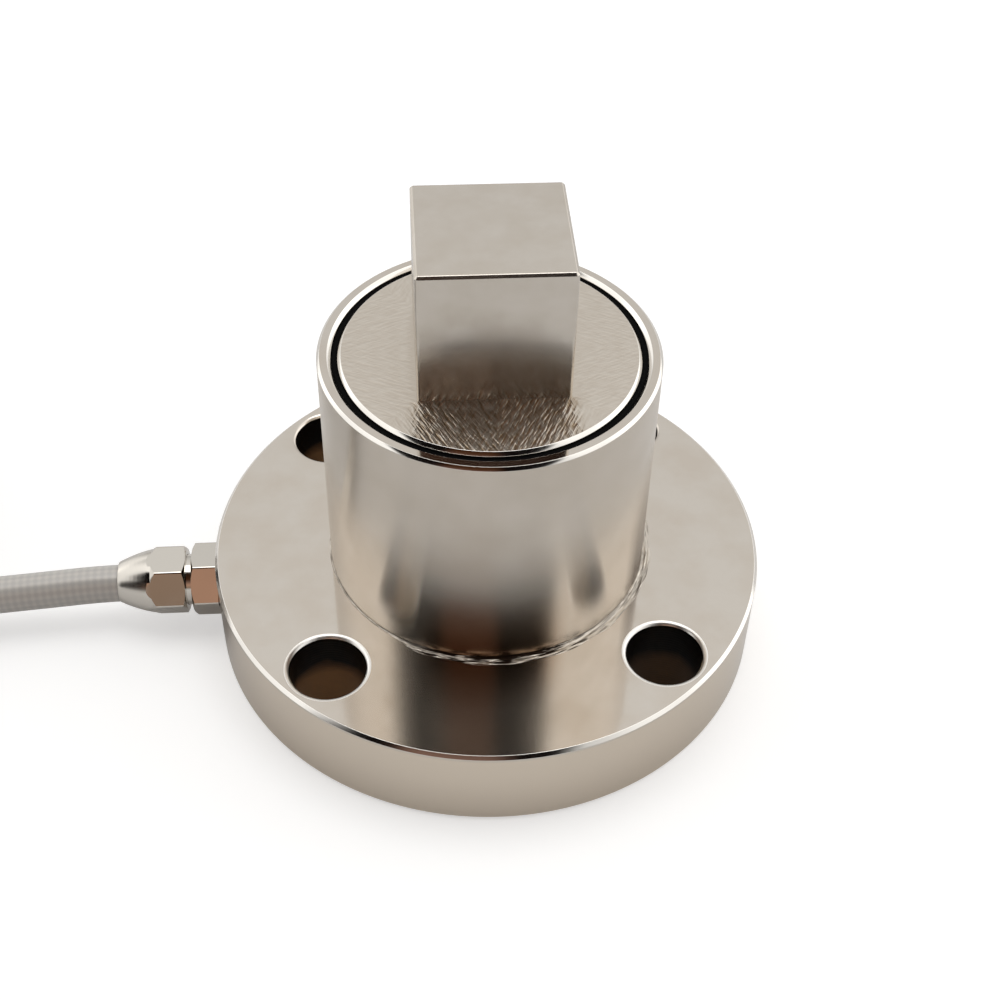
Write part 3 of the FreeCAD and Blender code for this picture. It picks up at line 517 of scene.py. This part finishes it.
finishes = [plate, drilled, milled, ground, rubbed, polished]
for skin in finishes:
    body.data.materials.append(skin)
bare_below, close, hair = 13.55, 0.05, 0.001
for face in body.data.polygons:
    spot = face.center / MM
    across = math.hypot(spot.x, spot.y)
    from_hole = min(math.hypot(spot.x - h.x, spot.y - h.y) for h in hole_spots)
    in_mouth = from_hole < mouth_r + close and spot.z > flange_top - mouth_round - close
    on_flange_rim = across > flange_r - rim_cut - close and spot.z > flange_top - rim_cut - close
    on_collar_rim = collar_r - rim_cut - close < across < collar_r + close
    on_collar_rim = on_collar_rim and spot.z > collar_top - rim_cut - close
    skin = plate
    if from_hole < hole_r + close and abs(face.normal.z) < 0.1:
        skin = drilled
    elif in_mouth and spot.z < bare_below:
        skin = drilled
    elif in_mouth and spot.z < flange_top - hair and spot.y < 0:
        skin = rubbed
    elif on_collar_rim and spot.z < collar_top - hair:
        skin = polished
    elif on_flange_rim and spot.z < flange_top - hair:
        skin = polished
    elif spot.z > collar_top + hair:
        skin = ground
    elif spot.z > collar_top - hair and across < collar_r - rim_cut:
        skin = milled
    face.material_index = finishes.index(skin)
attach(body, "root")
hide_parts("sensor_body")


# Cover sleeve: a thin steel tube round the shaft, turned and plated, with broken edges at
# its mouth. It stands on the flange, welded all round.
sleeve_r, sleeve_bore_r, outer_cut, inner_cut = 23, 21.1, 0.4, 0.5
sleeve = turned(
    "cover_sleeve_tube",
    [
        (sleeve_bore_r, flange_top),
        (sleeve_r, flange_top),
        (sleeve_r, collar_top - outer_cut),
        (sleeve_r - outer_cut, collar_top),
        (sleeve_bore_r + inner_cut, collar_top),
        (sleeve_bore_r, collar_top - inner_cut),
    ],
    cut=0.03,
)
worked(sleeve)

# Nickel plate on a fine turned tube: satin, so what it mirrors is drawn out up and down but
# stays clear from side to side. Its feed marks lean up by 2 degrees. Faint cloudy patches of
# 8 mm. Low at the front, a painted brown reflection of the dim side tints it, and there it is
# smoother than the rest. Near the right edge, a dark brown band fades upward from the weld.
satin, tree, shader, place = finish("nickel_plate_on_satin_tube", "#D6CEC4", 1.0, 0.25)
round_axis = add(tree, "VectorMath", {0: (0, 0, 1), 1: place}, operation="CROSS_PRODUCT")
tree.links.new(round_axis.outputs[0], shader.inputs["Tangent"])
shader.inputs["Anisotropic"].default_value = 0.85
shader.inputs["Anisotropic Rotation"].default_value = 0.25
clouds = add(tree, "TexNoise", {"Vector": place, "Scale": 1 / 0.008, "Detail": 3.0}).outputs[0]
haze = add(tree, "MapRange", {0: clouds, 1: 0.3, 2: 0.7, 3: 0.225, 4: 0.268}).outputs[0]
spot = add(tree, "SeparateXYZ", {0: place}).outputs
lean = add(tree, "Math", {0: spot["Z"], 1: -0.035}, operation="MULTIPLY").outputs[0]
lean = add(tree, "Bump", {"Height": lean, "Strength": 1.0, "Distance": 1.0})
tree.links.new(lean.outputs[0], shader.inputs["Normal"])
tint = add(tree, "MapRange", {0: clouds, 1: 0.3, 2: 0.7}).outputs[0]
tint = add(
    tree, "Mix", {"Factor": tint, 6: linear("#D8D0C6"), 7: linear("#D1C8BC")}, data_type="RGBA"
)
turn = add(tree, "Math", {0: spot["Y"], 1: spot["X"]}, operation="ARCTAN2").outputs[0]
# Two brown bands in the base colour: low in front, painted reflection of the dim side; near the right
# edge, a dark band that fades upward.
for inner, outer, top, full, brown, gloss in (
    ((-120, -110), (-64, -76), 0.026, 0.014, "#BFA184", 0.6),
    ((-36, -27), (-10, -17), 0.034, 0.016, "#5A4936", 1.0),
):
    inner, outer = (
        add(tree, "MapRange", {0: turn, 1: math.radians(a), 2: math.radians(b)}).outputs[0]
        for a, b in (inner, outer)
    )
    brown_band = add(tree, "Math", {0: inner, 1: outer}, operation="MULTIPLY").outputs[0]
    fade = add(tree, "MapRange", {0: spot["Z"], 1: top, 2: full}).outputs[0]
    brown_band = add(tree, "Math", {0: brown_band, 1: fade}, operation="MULTIPLY").outputs[0]
    tint = add(tree, "Mix", {"Factor": brown_band, 6: tint.outputs[2], 7: linear(brown)}, data_type="RGBA")
    brown_band = add(tree, "MapRange", {0: brown_band, 3: 1.0, 4: gloss}).outputs[0]
    haze = add(tree, "Math", {0: haze, 1: brown_band}, operation="MULTIPLY").outputs[0]
tree.links.new(tint.outputs[2], shader.inputs["Base Color"])
tree.links.new(haze, shader.inputs["Roughness"])

for skin in (satin, plate, polished):
    sleeve.data.materials.append(skin)
for face in sleeve.data.polygons:
    on_rim = face.center.z > (collar_top - inner_cut + close) * MM
    face.material_index = int(on_rim) + int(on_rim and face.normal.z < 0.95)
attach(sleeve, "root")
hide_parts("cover_sleeve")


# Weld: the bead that joins the sleeve to the flange. Dressed to a small fillet on the left
# and at the back, and left as it ran, in flowing ridges, from the front round to the right.
bead_steps, bead_rows = 720, 20
bead_start, bead_span, run_in, run_out = math.radians(230), math.radians(160), 0.3, 0.5
fillet_width, fillet_height, bead_width, bead_height = 0.25, 0.3, 0.95, 0.1
bm = bmesh.new()
rows = []
for k in range(bead_steps):
    angle = math.tau * k / bead_steps
    turn = Vector((math.cos(angle), math.sin(angle), 0))
    past_start = (angle - bead_start) % math.tau
    rough = ease(past_start / run_in) * ease((bead_span - past_start) / run_out)
    wide = fillet_width + rough * (bead_width + 0.4 * noise.noise(turn * 6))
    high = fillet_height + rough * (bead_height + 0.1 * noise.noise(turn * 9))
    row = []
    for i in range(bead_rows + 1):
        share = i / bead_rows
        lift = noise.noise(turn * 5 + Vector((0, 0, 7 * share)))
        lift += 0.5 * noise.noise(turn * 14 + Vector((3, 0, 9 * share)))
        lift = (0.02 + 0.09 * rough) * (0.35 + lift) * 4 * share * (1 - share)
        across = sleeve_r + max(wide * (1 - share) ** 2 + 0.3 * lift, 0)
        rise = flange_top + max(high * share**3 + 0.9 * lift, 0.005)
        row.append(bm.verts.new((turn * across + Vector((0, 0, rise))) * MM))
    rows.append(row)
for one, two in zip(rows, rows[1:] + rows[:1]):
    for i in range(bead_rows):
        bm.faces.new((one[i], two[i], two[i + 1], one[i + 1]))
weld = piece_of("weld_bead", bm)

# Nickel plate on a weld: bright, in streaks of 0.3 mm that run along it. Where it meets the
# sleeve it is painted dark, a line of painted shade, strongest in front.
welded, tree, shader, place = finish("nickel_plate_on_weld_bead", "#CFC7BC", 1.0, 0.28)
spot = add(tree, "SeparateXYZ", {0: place}).outputs
turn = add(tree, "Math", {0: spot["Y"], 1: spot["X"]}, operation="ARCTAN2").outputs[0]
flat = add(tree, "VectorMath", {0: place, 1: (1, 1, 0)}, operation="MULTIPLY").outputs[0]
flat = add(tree, "VectorMath", {0: flat}, operation="LENGTH").outputs["Value"]
flow = add(tree, "CombineXYZ", {"X": turn, "Y": flat, "Z": spot["Z"]}).outputs[0]
flow = add(tree, "VectorMath", {0: flow, 1: (0.003, 1, 1)}, operation="MULTIPLY").outputs[0]
streaks = add(tree, "TexNoise", {"Vector": flow, "Scale": 1 / 0.0003, "Detail": 2.0}).outputs[0]
raised = add(tree, "Bump", {"Height": streaks, "Strength": 1.0, "Distance": 0.0002})
tree.links.new(raised.outputs[0], shader.inputs["Normal"])
patches = add(tree, "TexNoise", {"Vector": flow, "Scale": 1 / 0.0004, "Detail": 2.0}).outputs[0]
patches = add(tree, "Math", {0: patches, 1: 0.002, 2: spot["Z"]}, operation="MULTIPLY_ADD").outputs[0]
# Painted shade: a dark line where the bead meets the sleeve, fullest in front.
seam_shade = add(tree, "MapRange", {0: patches, 1: 0.01498, 2: 0.0152}).outputs[0]
front = add(tree, "MapRange", {0: spot["Y"], 1: -0.0185, 2: -0.0215, 3: 0.45}).outputs[0]
seam_shade = add(tree, "Math", {0: seam_shade, 1: front}, operation="MULTIPLY").outputs[0]
tint = add(tree, "Mix", {"Factor": seam_shade, 6: linear("#CFC7BC"), 7: linear("#2B211A")}, data_type="RGBA")
tree.links.new(tint.outputs[2], shader.inputs["Base Color"])
dull = add(tree, "MapRange", {0: seam_shade, 3: 0.28, 4: 0.5}).outputs[0]
tree.links.new(dull, shader.inputs["Roughness"])
weld.data.materials.append(welded)
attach(weld, "root")


# Seal ring: black elastic filling poured in the gap between collar and sleeve. It has sunk
# a little below both edges and climbs them.
filling = [(collar_r, guide_top), (sleeve_bore_r, guide_top), (sleeve_bore_r, 49.4), (20.98, 49.22)]
filling += [(20.83, 49.12), (20.67, 49.08), (20.52, 49.12), (20.37, 49.22), (collar_r, 49.4)]
seal = turned("seal_ring_filling", filling, cut=0.02)

# Black rubber: almost no light comes back, with a dull sheen broken by grains of 0.2 mm.
rubber, tree, shader, place = finish("black_rubber", "#040404", 0.0, 0.6)
grains = add(tree, "TexNoise", {"Vector": place, "Scale": 1 / 0.0002, "Detail": 2.0}).outputs[0]
pores = add(tree, "Bump", {"Height": grains, "Strength": 0.3, "Distance": 0.00003})
tree.links.new(pores.outputs[0], shader.inputs["Normal"])
shade = add(tree, "MapRange", {0: grains, 1: 0.3, 2: 0.7, 3: 0.5, 4: 0.7}).outputs[0]
tree.links.new(shade, shader.inputs["Roughness"])
shader.inputs["Specular IOR Level"].default_value = 0.06
seal.data.materials.append(rubber)
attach(seal, "root")
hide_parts("seal_ring")


# Cable gland: a hexagon body screwed into the flange's side on a gasket, and a nut with a
# long nose that squeezes the seal on the cable. Turned brass, nickel plated and bright.
def hexagon(name, flat_r, start, end, roll):
    """A bar with six flats along the gland's axis, its corners broken."""
    corner_r = flat_r / math.cos(math.pi / 6)
    bar = turned(name, [(0, start), (corner_r, start), (corner_r, end), (0, end)], 6, 0)
    bm = bmesh.new()
    bm.from_mesh(bar.data)
    ridges = [e for e in bm.edges if abs(e.verts[0].co.z - e.verts[1].co.z) > MM]
    bmesh.ops.bevel(
        bm, geom=ridges, offset=0.22 * MM, segments=3, profile=0.5, affect="EDGES", material=-1
    )
    bmesh.ops.transform(bm, matrix=Matrix.Rotation(math.radians(90 + roll), 4, "Z"), verts=bm.verts)
    bpy.data.objects.remove(bar)
    return piece_of(name, bm)


def laid(piece):
    """The piece laid along the cable, from the flange outward."""
    piece.data.transform(sideways)
    return piece


# Heights go out along the cable from the flange's axis. The tool that cuts a hexagon's ends
# reaches past its corners.
body_flat_r, nut_flat_r, past, bore_r, gasket_top = 4.8, 4.6, 6.043, 2.9, 39.8
gland_body = hexagon("gland_body_brass", body_flat_r, gasket_top, 46, 4.5)
ends = turned("ends", [(0, 38), (past, 38), (past, 42.95), (4.823, 43.7), (0, 43.7)], cut=0.06)
spigot = turned("spigot", [(0, 31.9), (3.6, 31.9), (3.95, 32.3), (3.95, 39.9), (0, 39.9)], 96)
neck = turned("neck", [(0, 43.5), (3.75, 43.5), (3.75, 47.9), (3.45, 48.2), (0, 48.2)], 96)
bore = [(0, 31), (bore_r, 31), (bore_r, 46.1), (3.35, 46.1), (3.35, 49), (0, 49)]
bore = turned("bore", bore, 96, 0)
worked(gland_body, (ends, "INTERSECT"), (spigot, "UNION"), (neck, "UNION"), (bore, "DIFFERENCE"))
laid(gland_body)

nose_r, nose_end, nose_flare, nose_length, bulge = 3, 54.65, 1.75, 5.05, 0.19
shares = [step / 8 for step in range(9)]
nose = [
    (nose_r + nose_flare * s + bulge * 4 * s * (1 - s), nose_end - nose_length * s)
    for s in reversed(shares)
]
gland_nut = hexagon("gland_nut_brass", nut_flat_r, 44, 56, -2)
ends = [(0, 44.6), (4.592, 44.6), (past, 45.489), (past, 47.869), *nose, (0, nose_end)]
ends = turned("ends", ends, cut=0.06)
bore = [(0, 43), (3.8, 43), (3.8, 49.3), (bore_r, 49.3), (bore_r, 53.6)]
bore = turned("bore", bore + [(2.78, 54), (2.78, 55), (0, 55)], 96, 0)
worked(gland_nut, (ends, "INTERSECT"), (bore, "DIFFERENCE"))
laid(gland_nut)

# Nickel plate on turned brass: the brightest metal here, an almost clear mirror with
# smears of haze some 3 mm across. The nut's nose is brushed and mirrors more softly.
bright_plate, tree, shader, place = finish("bright_nickel_on_brass", "#DAD5CD", 1.0, 0.07)
smears = add(tree, "TexNoise", {"Vector": place, "Scale": 1 / 0.003, "Detail": 2.0}).outputs[0]
haze = add(tree, "MapRange", {0: smears, 1: 0.3, 2: 0.7, 3: 0.05, 4: 0.11}).outputs[0]
nose = add(tree, "SeparateXYZ", {0: place}).outputs["X"]
nose = add(tree, "MapRange", {0: nose, 1: -0.0495, 2: -0.0505, 4: 0.13}).outputs[0]
haze = add(tree, "Math", {0: haze, 1: nose}, operation="ADD").outputs[0]
tree.links.new(haze, shader.inputs["Roughness"])
for piece, node in ((gland_body, "gland_body"), (gland_nut, "gland_nut")):
    piece.data.materials.append(bright_plate)
    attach(piece, "root")
    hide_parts(node)

# Gasket: a flat ring punched from sheet rubber. The gland's hexagon squeezes it against its
# seat in the flange and keeps water out of the thread.
gasket = [(4.05, seat), (body_flat_r, seat), (body_flat_r, gasket_top), (4.05, gasket_top)]
gasket = laid(turned("gland_gasket_rubber", gasket, 96))
gasket.data.materials.append(rubber)
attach(gasket, "root")
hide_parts("gland_gasket")


# Ties: two woven straps round the wound cable. Each is closed on itself, and its loose end is
# lapped over the top and down the outside, where its hooks hold.
tie_half, tie_layer = 3, 0.29


def wrapped(angle):
    """The tight line round all turns that pass this angle, as (point, way out) pairs."""
    marks = []
    for k in range(layers * 4):
        turn = k + (-90 - angle) / 360 % 1
        spot = on_coil(turn) - coil_centre
        spot = Vector((math.hypot(spot.x, spot.y), 0, spot.z))
        ways = [math.tau * step / 48 for step in range(48)] if turn < last_turn else []
        ways = [Vector((math.cos(a), 0, math.sin(a))) for a in ways]
        marks += [(spot + way * cable_r, way) for way in ways]
    marks.sort(key=lambda mark: (mark[0].x, mark[0].z))
    line = []
    for run in (marks, marks[::-1]):
        side = []
        for mark in run:
            while len(side) > 1:
                one, two = side[-1][0] - side[-2][0], mark[0] - side[-2][0]
                if one.x * two.z - one.z * two.x > 0:
                    break
                side.pop()
            side.append(mark)
        line += side[:-1]
    return line


def strip(bm, uv, line, inner, outer, closed):
    """A flat band along (point, way out) pairs, from one height off the line to another."""
    rows, metres, before = [], 0.0, line[0][0]
    for point, way in line + line[:1] * closed:
        metres += (point - before).length * MM
        before = point
        row = []
        for height, half in ((inner, -1), (inner, 1), (outer, 1), (outer, -1)):
            spot = point + way * height + Vector((0, half * tie_half, 0))
            row.append((bm.verts.new(spot * MM), (metres, half * tie_half * MM)))
        rows.append(row)
    quads = []
    for one, two in zip(rows, rows[1:]):
        quads += [(one[k - 1], one[k], two[k], two[k - 1]) for k in range(4)]
    if not closed:
        quads += [rows[0][::-1], rows[-1]]
    for quad in quads:
        face = bm.faces.new([vert for vert, spot in quad])
        for loop, (vert, spot) in zip(face.loops, quad):
            loop[uv].uv = spot


# Woven nylon strap: near black and matt, threads of 0.6 mm over and under each other.
woven, tree, shader, place = finish("woven_black_strap", "#1B1B1D", 0.0, 0.85)
run = add(tree, "SeparateXYZ", {0: add(tree, "UVMap", {}, uv_map="UVMap").outputs[0]}).outputs
weft, warp = (
    add(tree, "Math", {0: run[axis], 1: math.pi / 0.0006}, operation="MULTIPLY").outputs[0]
    for axis in ("X", "Y")
)
weft, warp = (add(tree, "Math", {0: t}, operation="SINE").outputs[0] for t in (weft, warp))
threads = add(tree, "Math", {0: weft, 1: warp}, operation="MULTIPLY").outputs[0]
raised = add(tree, "Bump", {"Height": threads, "Strength": 0.6, "Distance": 0.00012})
tree.links.new(raised.outputs[0], shader.inputs["Normal"])
shade = add(tree, "MapRange", {0: threads, 1: -1.0, 2: 1.0}).outputs[0]
shade = add(tree, "Mix", {"Factor": shade, 6: linear("#111113"), 7: linear("#26262A")}, data_type="RGBA")
tree.links.new(shade.outputs[2], shader.inputs["Base Color"])

for number, angle in ((1, 5), (2, 205)):
    bm = bmesh.new()
    uv = bm.loops.layers.uv.new("UVMap")
    line = wrapped(angle)
    strip(bm, uv, line, 0.02, tie_layer, True)
    lap = [mark for mark in line if mark[1].x > -0.3 and mark[1].z > -0.2]
    strip(bm, uv, lap, tie_layer, 2 * tie_layer, False)
    bmesh.ops.remove_doubles(bm, verts=bm.verts, dist=1e-7)
    bmesh.ops.recalc_face_normals(bm, faces=bm.faces)
    spun = Matrix.Translation(coil_centre * MM) @ Matrix.Rotation(math.radians(angle), 4, "Z")
    bmesh.ops.transform(bm, matrix=spun, verts=bm.verts)
    tie = worked(piece_of("coil_strap_%d" % number, bm))
    tie.data.materials.append(woven)
    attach(tie, "root")
    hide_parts("coil_tie_%d" % number)


# End sleeve: black tubing shrunk over the end of the jacket, wide on the jacket and narrow
# where only the cores and the screen come out of it.
shrink_length = 14
profile = [(5.5, 2.78), (0, 2.78), (0, 3.0), (0.12, 3.1), (0.4, 3.15), (5.6, 3.15), (6.6, 3.02)]
profile += [(8, 2.86), (11, 2.76), (13.6, 2.74), (13.9, 2.68)]
profile += [(shrink_length, 2.58), (shrink_length, 2.44), (12, 2.4)]
sides = 40
bm = bmesh.new()
loops = []
for at, radius in profile:
    spot = on_coil(last_turn + at * mm_turn)
    ahead = (on_coil(last_turn + (at + 0.1) * mm_turn) - spot).normalized()
    across = ahead.cross(Vector((0, 0, 1))).normalized()
    rise = across.cross(ahead)
    round_it = [math.tau * k / sides for k in range(sides)]
    round_it = [(across * math.cos(t) + rise * math.sin(t)) * radius for t in round_it]
    loops.append([bm.verts.new((spot + step) * MM) for step in round_it])
for one, two in zip(loops, loops[1:]):
    for k in range(sides):
        bm.faces.new((one[k - 1], one[k], two[k], two[k - 1]))
bm.faces.new(loops[0])
bm.faces.new(loops[-1])
bmesh.ops.recalc_face_normals(bm, faces=bm.faces)
shrink = worked(piece_of("end_shrink_sleeve", bm))

# Shrink tubing: black, smooth and half dull, with slight ripples of 2 mm.
shrunk, tree, shader, place = finish("black_shrink_tubing", "#141416", 0.0, 0.45)
ripples = add(tree, "TexNoise", {"Vector": place, "Scale": 1 / 0.002, "Detail": 2.0}).outputs[0]
waves = add(tree, "Bump", {"Height": ripples, "Strength": 0.3, "Distance": 0.0002})
tree.links.new(waves.outputs[0], shader.inputs["Normal"])
dull = add(tree, "MapRange", {0: ripples, 1: 0.3, 2: 0.7, 3: 0.38, 4: 0.55}).outputs[0]
tree.links.new(dull, shader.inputs["Roughness"])
shrink.data.materials.append(shrunk)
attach(shrink, "root")
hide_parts("end_sleeve")


# Cores and tails: four insulated cores and the screen's drain. At the far end they fan out,
# stripped for 7 mm. At the near end they go up through the flange to the board.
def mottled(name, colour, darker, metallic, roughness, patch, detail):
    """A finish whose tone drifts between two colours, in patches of this size in metres."""
    made, tree, shader, place = finish(name, colour, metallic, roughness)
    clouds = add(tree, "TexNoise", {"Vector": place, "Scale": 1 / patch, "Detail": detail}).outputs[0]
    tone = add(tree, "MapRange", {0: clouds, 1: 0.3, 2: 0.7}).outputs[0]
    tone = add(tree, "Mix", {"Factor": tone, 6: linear(colour), 7: linear(darker)}, data_type="RGBA")
    tree.links.new(tone.outputs[2], shader.inputs["Base Color"])
    return made


def dressed(material, *nodes):
    """Put a material on construction nodes that are shown as they are."""
    for name in nodes:
        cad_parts[name].data.materials.clear()
        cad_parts[name].data.materials.append(material)


# Tinned strands: grey-white wires twisted once in 5 mm. Eight coarse ones are drawn round the
# end, because the real ones, of 0.15 mm, would be too fine to show.
tinned, tree, shader, place = finish("twisted_tinned_strands", "#C9CACB", 1.0, 0.3)
run = add(tree, "SeparateXYZ", {0: add(tree, "UVMap", {}, uv_map="UVMap").outputs[0]}).outputs
wires, twist = 8, 0.005
lay = add(tree, "Math", {0: run["X"], 1: math.tau * wires / twist}, operation="MULTIPLY").outputs[0]
lay = add(
    tree, "Math", {0: run["Y"], 1: math.tau * wires, 2: lay}, operation="MULTIPLY_ADD"
).outputs[0]
lay = add(tree, "Math", {0: lay}, operation="SINE").outputs[0]
strands = add(tree, "Bump", {"Height": lay, "Strength": 0.8, "Distance": 0.00008})
tree.links.new(strands.outputs[0], shader.inputs["Normal"])
# Painted shade: the grooves between the strands are coloured darker.
groove_shade = add(tree, "MapRange", {0: lay, 1: -1.0, 2: 0.0}).outputs[0]
groove_shade = add(tree, "Mix", {"Factor": groove_shade, 6: linear("#77787A"), 7: linear("#D0D1D2")}, data_type="RGBA")
tree.links.new(groove_shade.outputs[2], shader.inputs["Base Color"])

tail_r, bare_r, tail_length, bare_length, shelf, tail_sides = 0.6, 0.36, 45, 7, 16.75, 12
for name, colour, darker, across, up, aside in (
    ("green", "#2F8A4A", "#27743E", -1.4, -1.1, -3.2),
    ("red", "#B3272A", "#9B2023", -1.1, 1.0, -1.6),
    ("screen", None, None, 0.0, 0.0, -0.1),
    ("black", "#1A1A1B", "#242425", 0.8, 1.4, 1.4),
    ("white", "#E6E4DF", "#D9D6CF", 1.3, -1.0, 2.9),
):
    points = []
    for share in (-0.04, 0, 0.15, 0.3, 0.48, 0.65, 0.82, 1):
        spot = on_coil(last_turn + (shrink_length + tail_length * share) * mm_turn) - coil_centre
        out = Vector((spot.x, spot.y, 0)).normalized()
        shift = across + (aside - across) * ease(share * 1.3)
        drop = (shelf + tail_r + 0.1 - spot.z - up) * ease(share * 1.5)
        points.append(coil_centre + spot + out * shift + Vector((0, 0, up + drop)))
    tail, line = tube("tail_%s_lead" % name, points, tail_r, tail_sides, 10)
    skins = [tinned]
    if colour:
        # Coloured PVC: a soft satin skin, a little uneven every 4 mm.
        insulation = mottled("insulation_" + name, colour, darker, 0.0, 0.4, 0.004, 2.0)
        skins = [insulation, tinned]
        dressed(insulation, "core_" + name)
        left_over = [(line[-1] - point).length for point in line]
        for vertex in tail.data.vertices:
            ring = vertex.index // tail_sides - 2
            if left_over[max(ring, -1)] < bare_length * MM:
                centre = line[max(ring, -1)]
                vertex.co = centre + (vertex.co - centre) * bare_r / tail_r
    for skin in skins:
        tail.data.materials.append(skin)
    for face in tail.data.polygons:
        tip = (face.center - line[-1]).length < bare_length * MM
        face.material_index = int(tip and len(skins) > 1)
    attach(tail, "root")
    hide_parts("tail_" + name)


# Strain gauges: four amber films bonded to the shaft, each with a grid at 45 degrees that
# feels the twist. The foil's lines are 0.25 mm apart.
film, tree, shader, place = finish("amber_gauge_film", "#B57A2C", 0.0, 0.3)
spot = add(tree, "SeparateXYZ", {0: place}).outputs
turn = add(tree, "Math", {0: spot["Y"], 1: spot["X"]}, operation="ARCTAN2").outputs[0]
slant = add(
    tree, "Math", {0: turn, 1: shaft_r * MM, 2: spot["Z"]}, operation="MULTIPLY_ADD"
).outputs[0]
slant = add(tree, "Math", {0: slant, 1: math.tau / 0.00035}, operation="MULTIPLY").outputs[0]
foil = add(tree, "Math", {0: slant}, operation="SINE").outputs[0]
foil = add(tree, "MapRange", {0: foil, 1: 0.1, 2: 0.3}).outputs[0]
foil = add(tree, "Mix", {"Factor": foil, 6: linear("#B57A2C"), 7: linear("#8C8078")}, data_type="RGBA")
tree.links.new(foil.outputs[2], shader.inputs["Base Color"])
dressed(film, *["strain_gauge_%d" % k for k in range(1, 5)])

# Bridge board: a ring of glass-fibre circuit board that sits on the body, round the shaft.
# Under its green lacquer, tracks run round it 1.6 mm apart.
board, tree, shader, place = finish("green_circuit_board", "#1E5B38", 0.0, 0.35)
flat = add(tree, "VectorMath", {0: place, 1: (1, 1, 0)}, operation="MULTIPLY").outputs[0]
across = add(tree, "VectorMath", {0: flat}, operation="LENGTH").outputs["Value"]
track = add(tree, "Math", {0: across, 1: math.tau / 0.0016}, operation="MULTIPLY").outputs[0]
track = add(tree, "Math", {0: track}, operation="SINE").outputs[0]
track = add(tree, "MapRange", {0: track, 1: 0.2, 2: 0.4}).outputs[0]
lacquer = add(tree, "Mix", {"Factor": track, 6: linear("#1E5B38"), 7: linear("#2F7A4C")}, data_type="RGBA")
tree.links.new(lacquer.outputs[2], shader.inputs["Base Color"])
dressed(board, "terminal_board")

# Trim resistors: four chips of black thick film on ceramic, flat on the board, that balance
# the bridge. They are matt with grains of 0.1 mm.
chip = mottled("thick_film_resistor", "#1A1A1C", "#2C2C30", 0.0, 0.5, 0.0001, 1.0)
dressed(chip, *["trim_resistor_%d" % k for k in range(1, 5)])

# Bridge wires: fine copper wires from the gauges down to the board, two to a gauge. Clear
# enamel gives them a warm gloss that varies every 3 mm.
enamel = mottled("enamelled_copper", "#B0602E", "#94481F", 0.9, 0.25, 0.003, 1.0)
dressed(enamel, "bridge_wires")

# Inside the gland's nut: a rubber sleeve on the cable and a plated brass ring. The nut presses
# the ring against the sleeve, which then grips the cable.
dressed(rubber, "gland_seal")
dressed(bright_plate, "gland_washer")
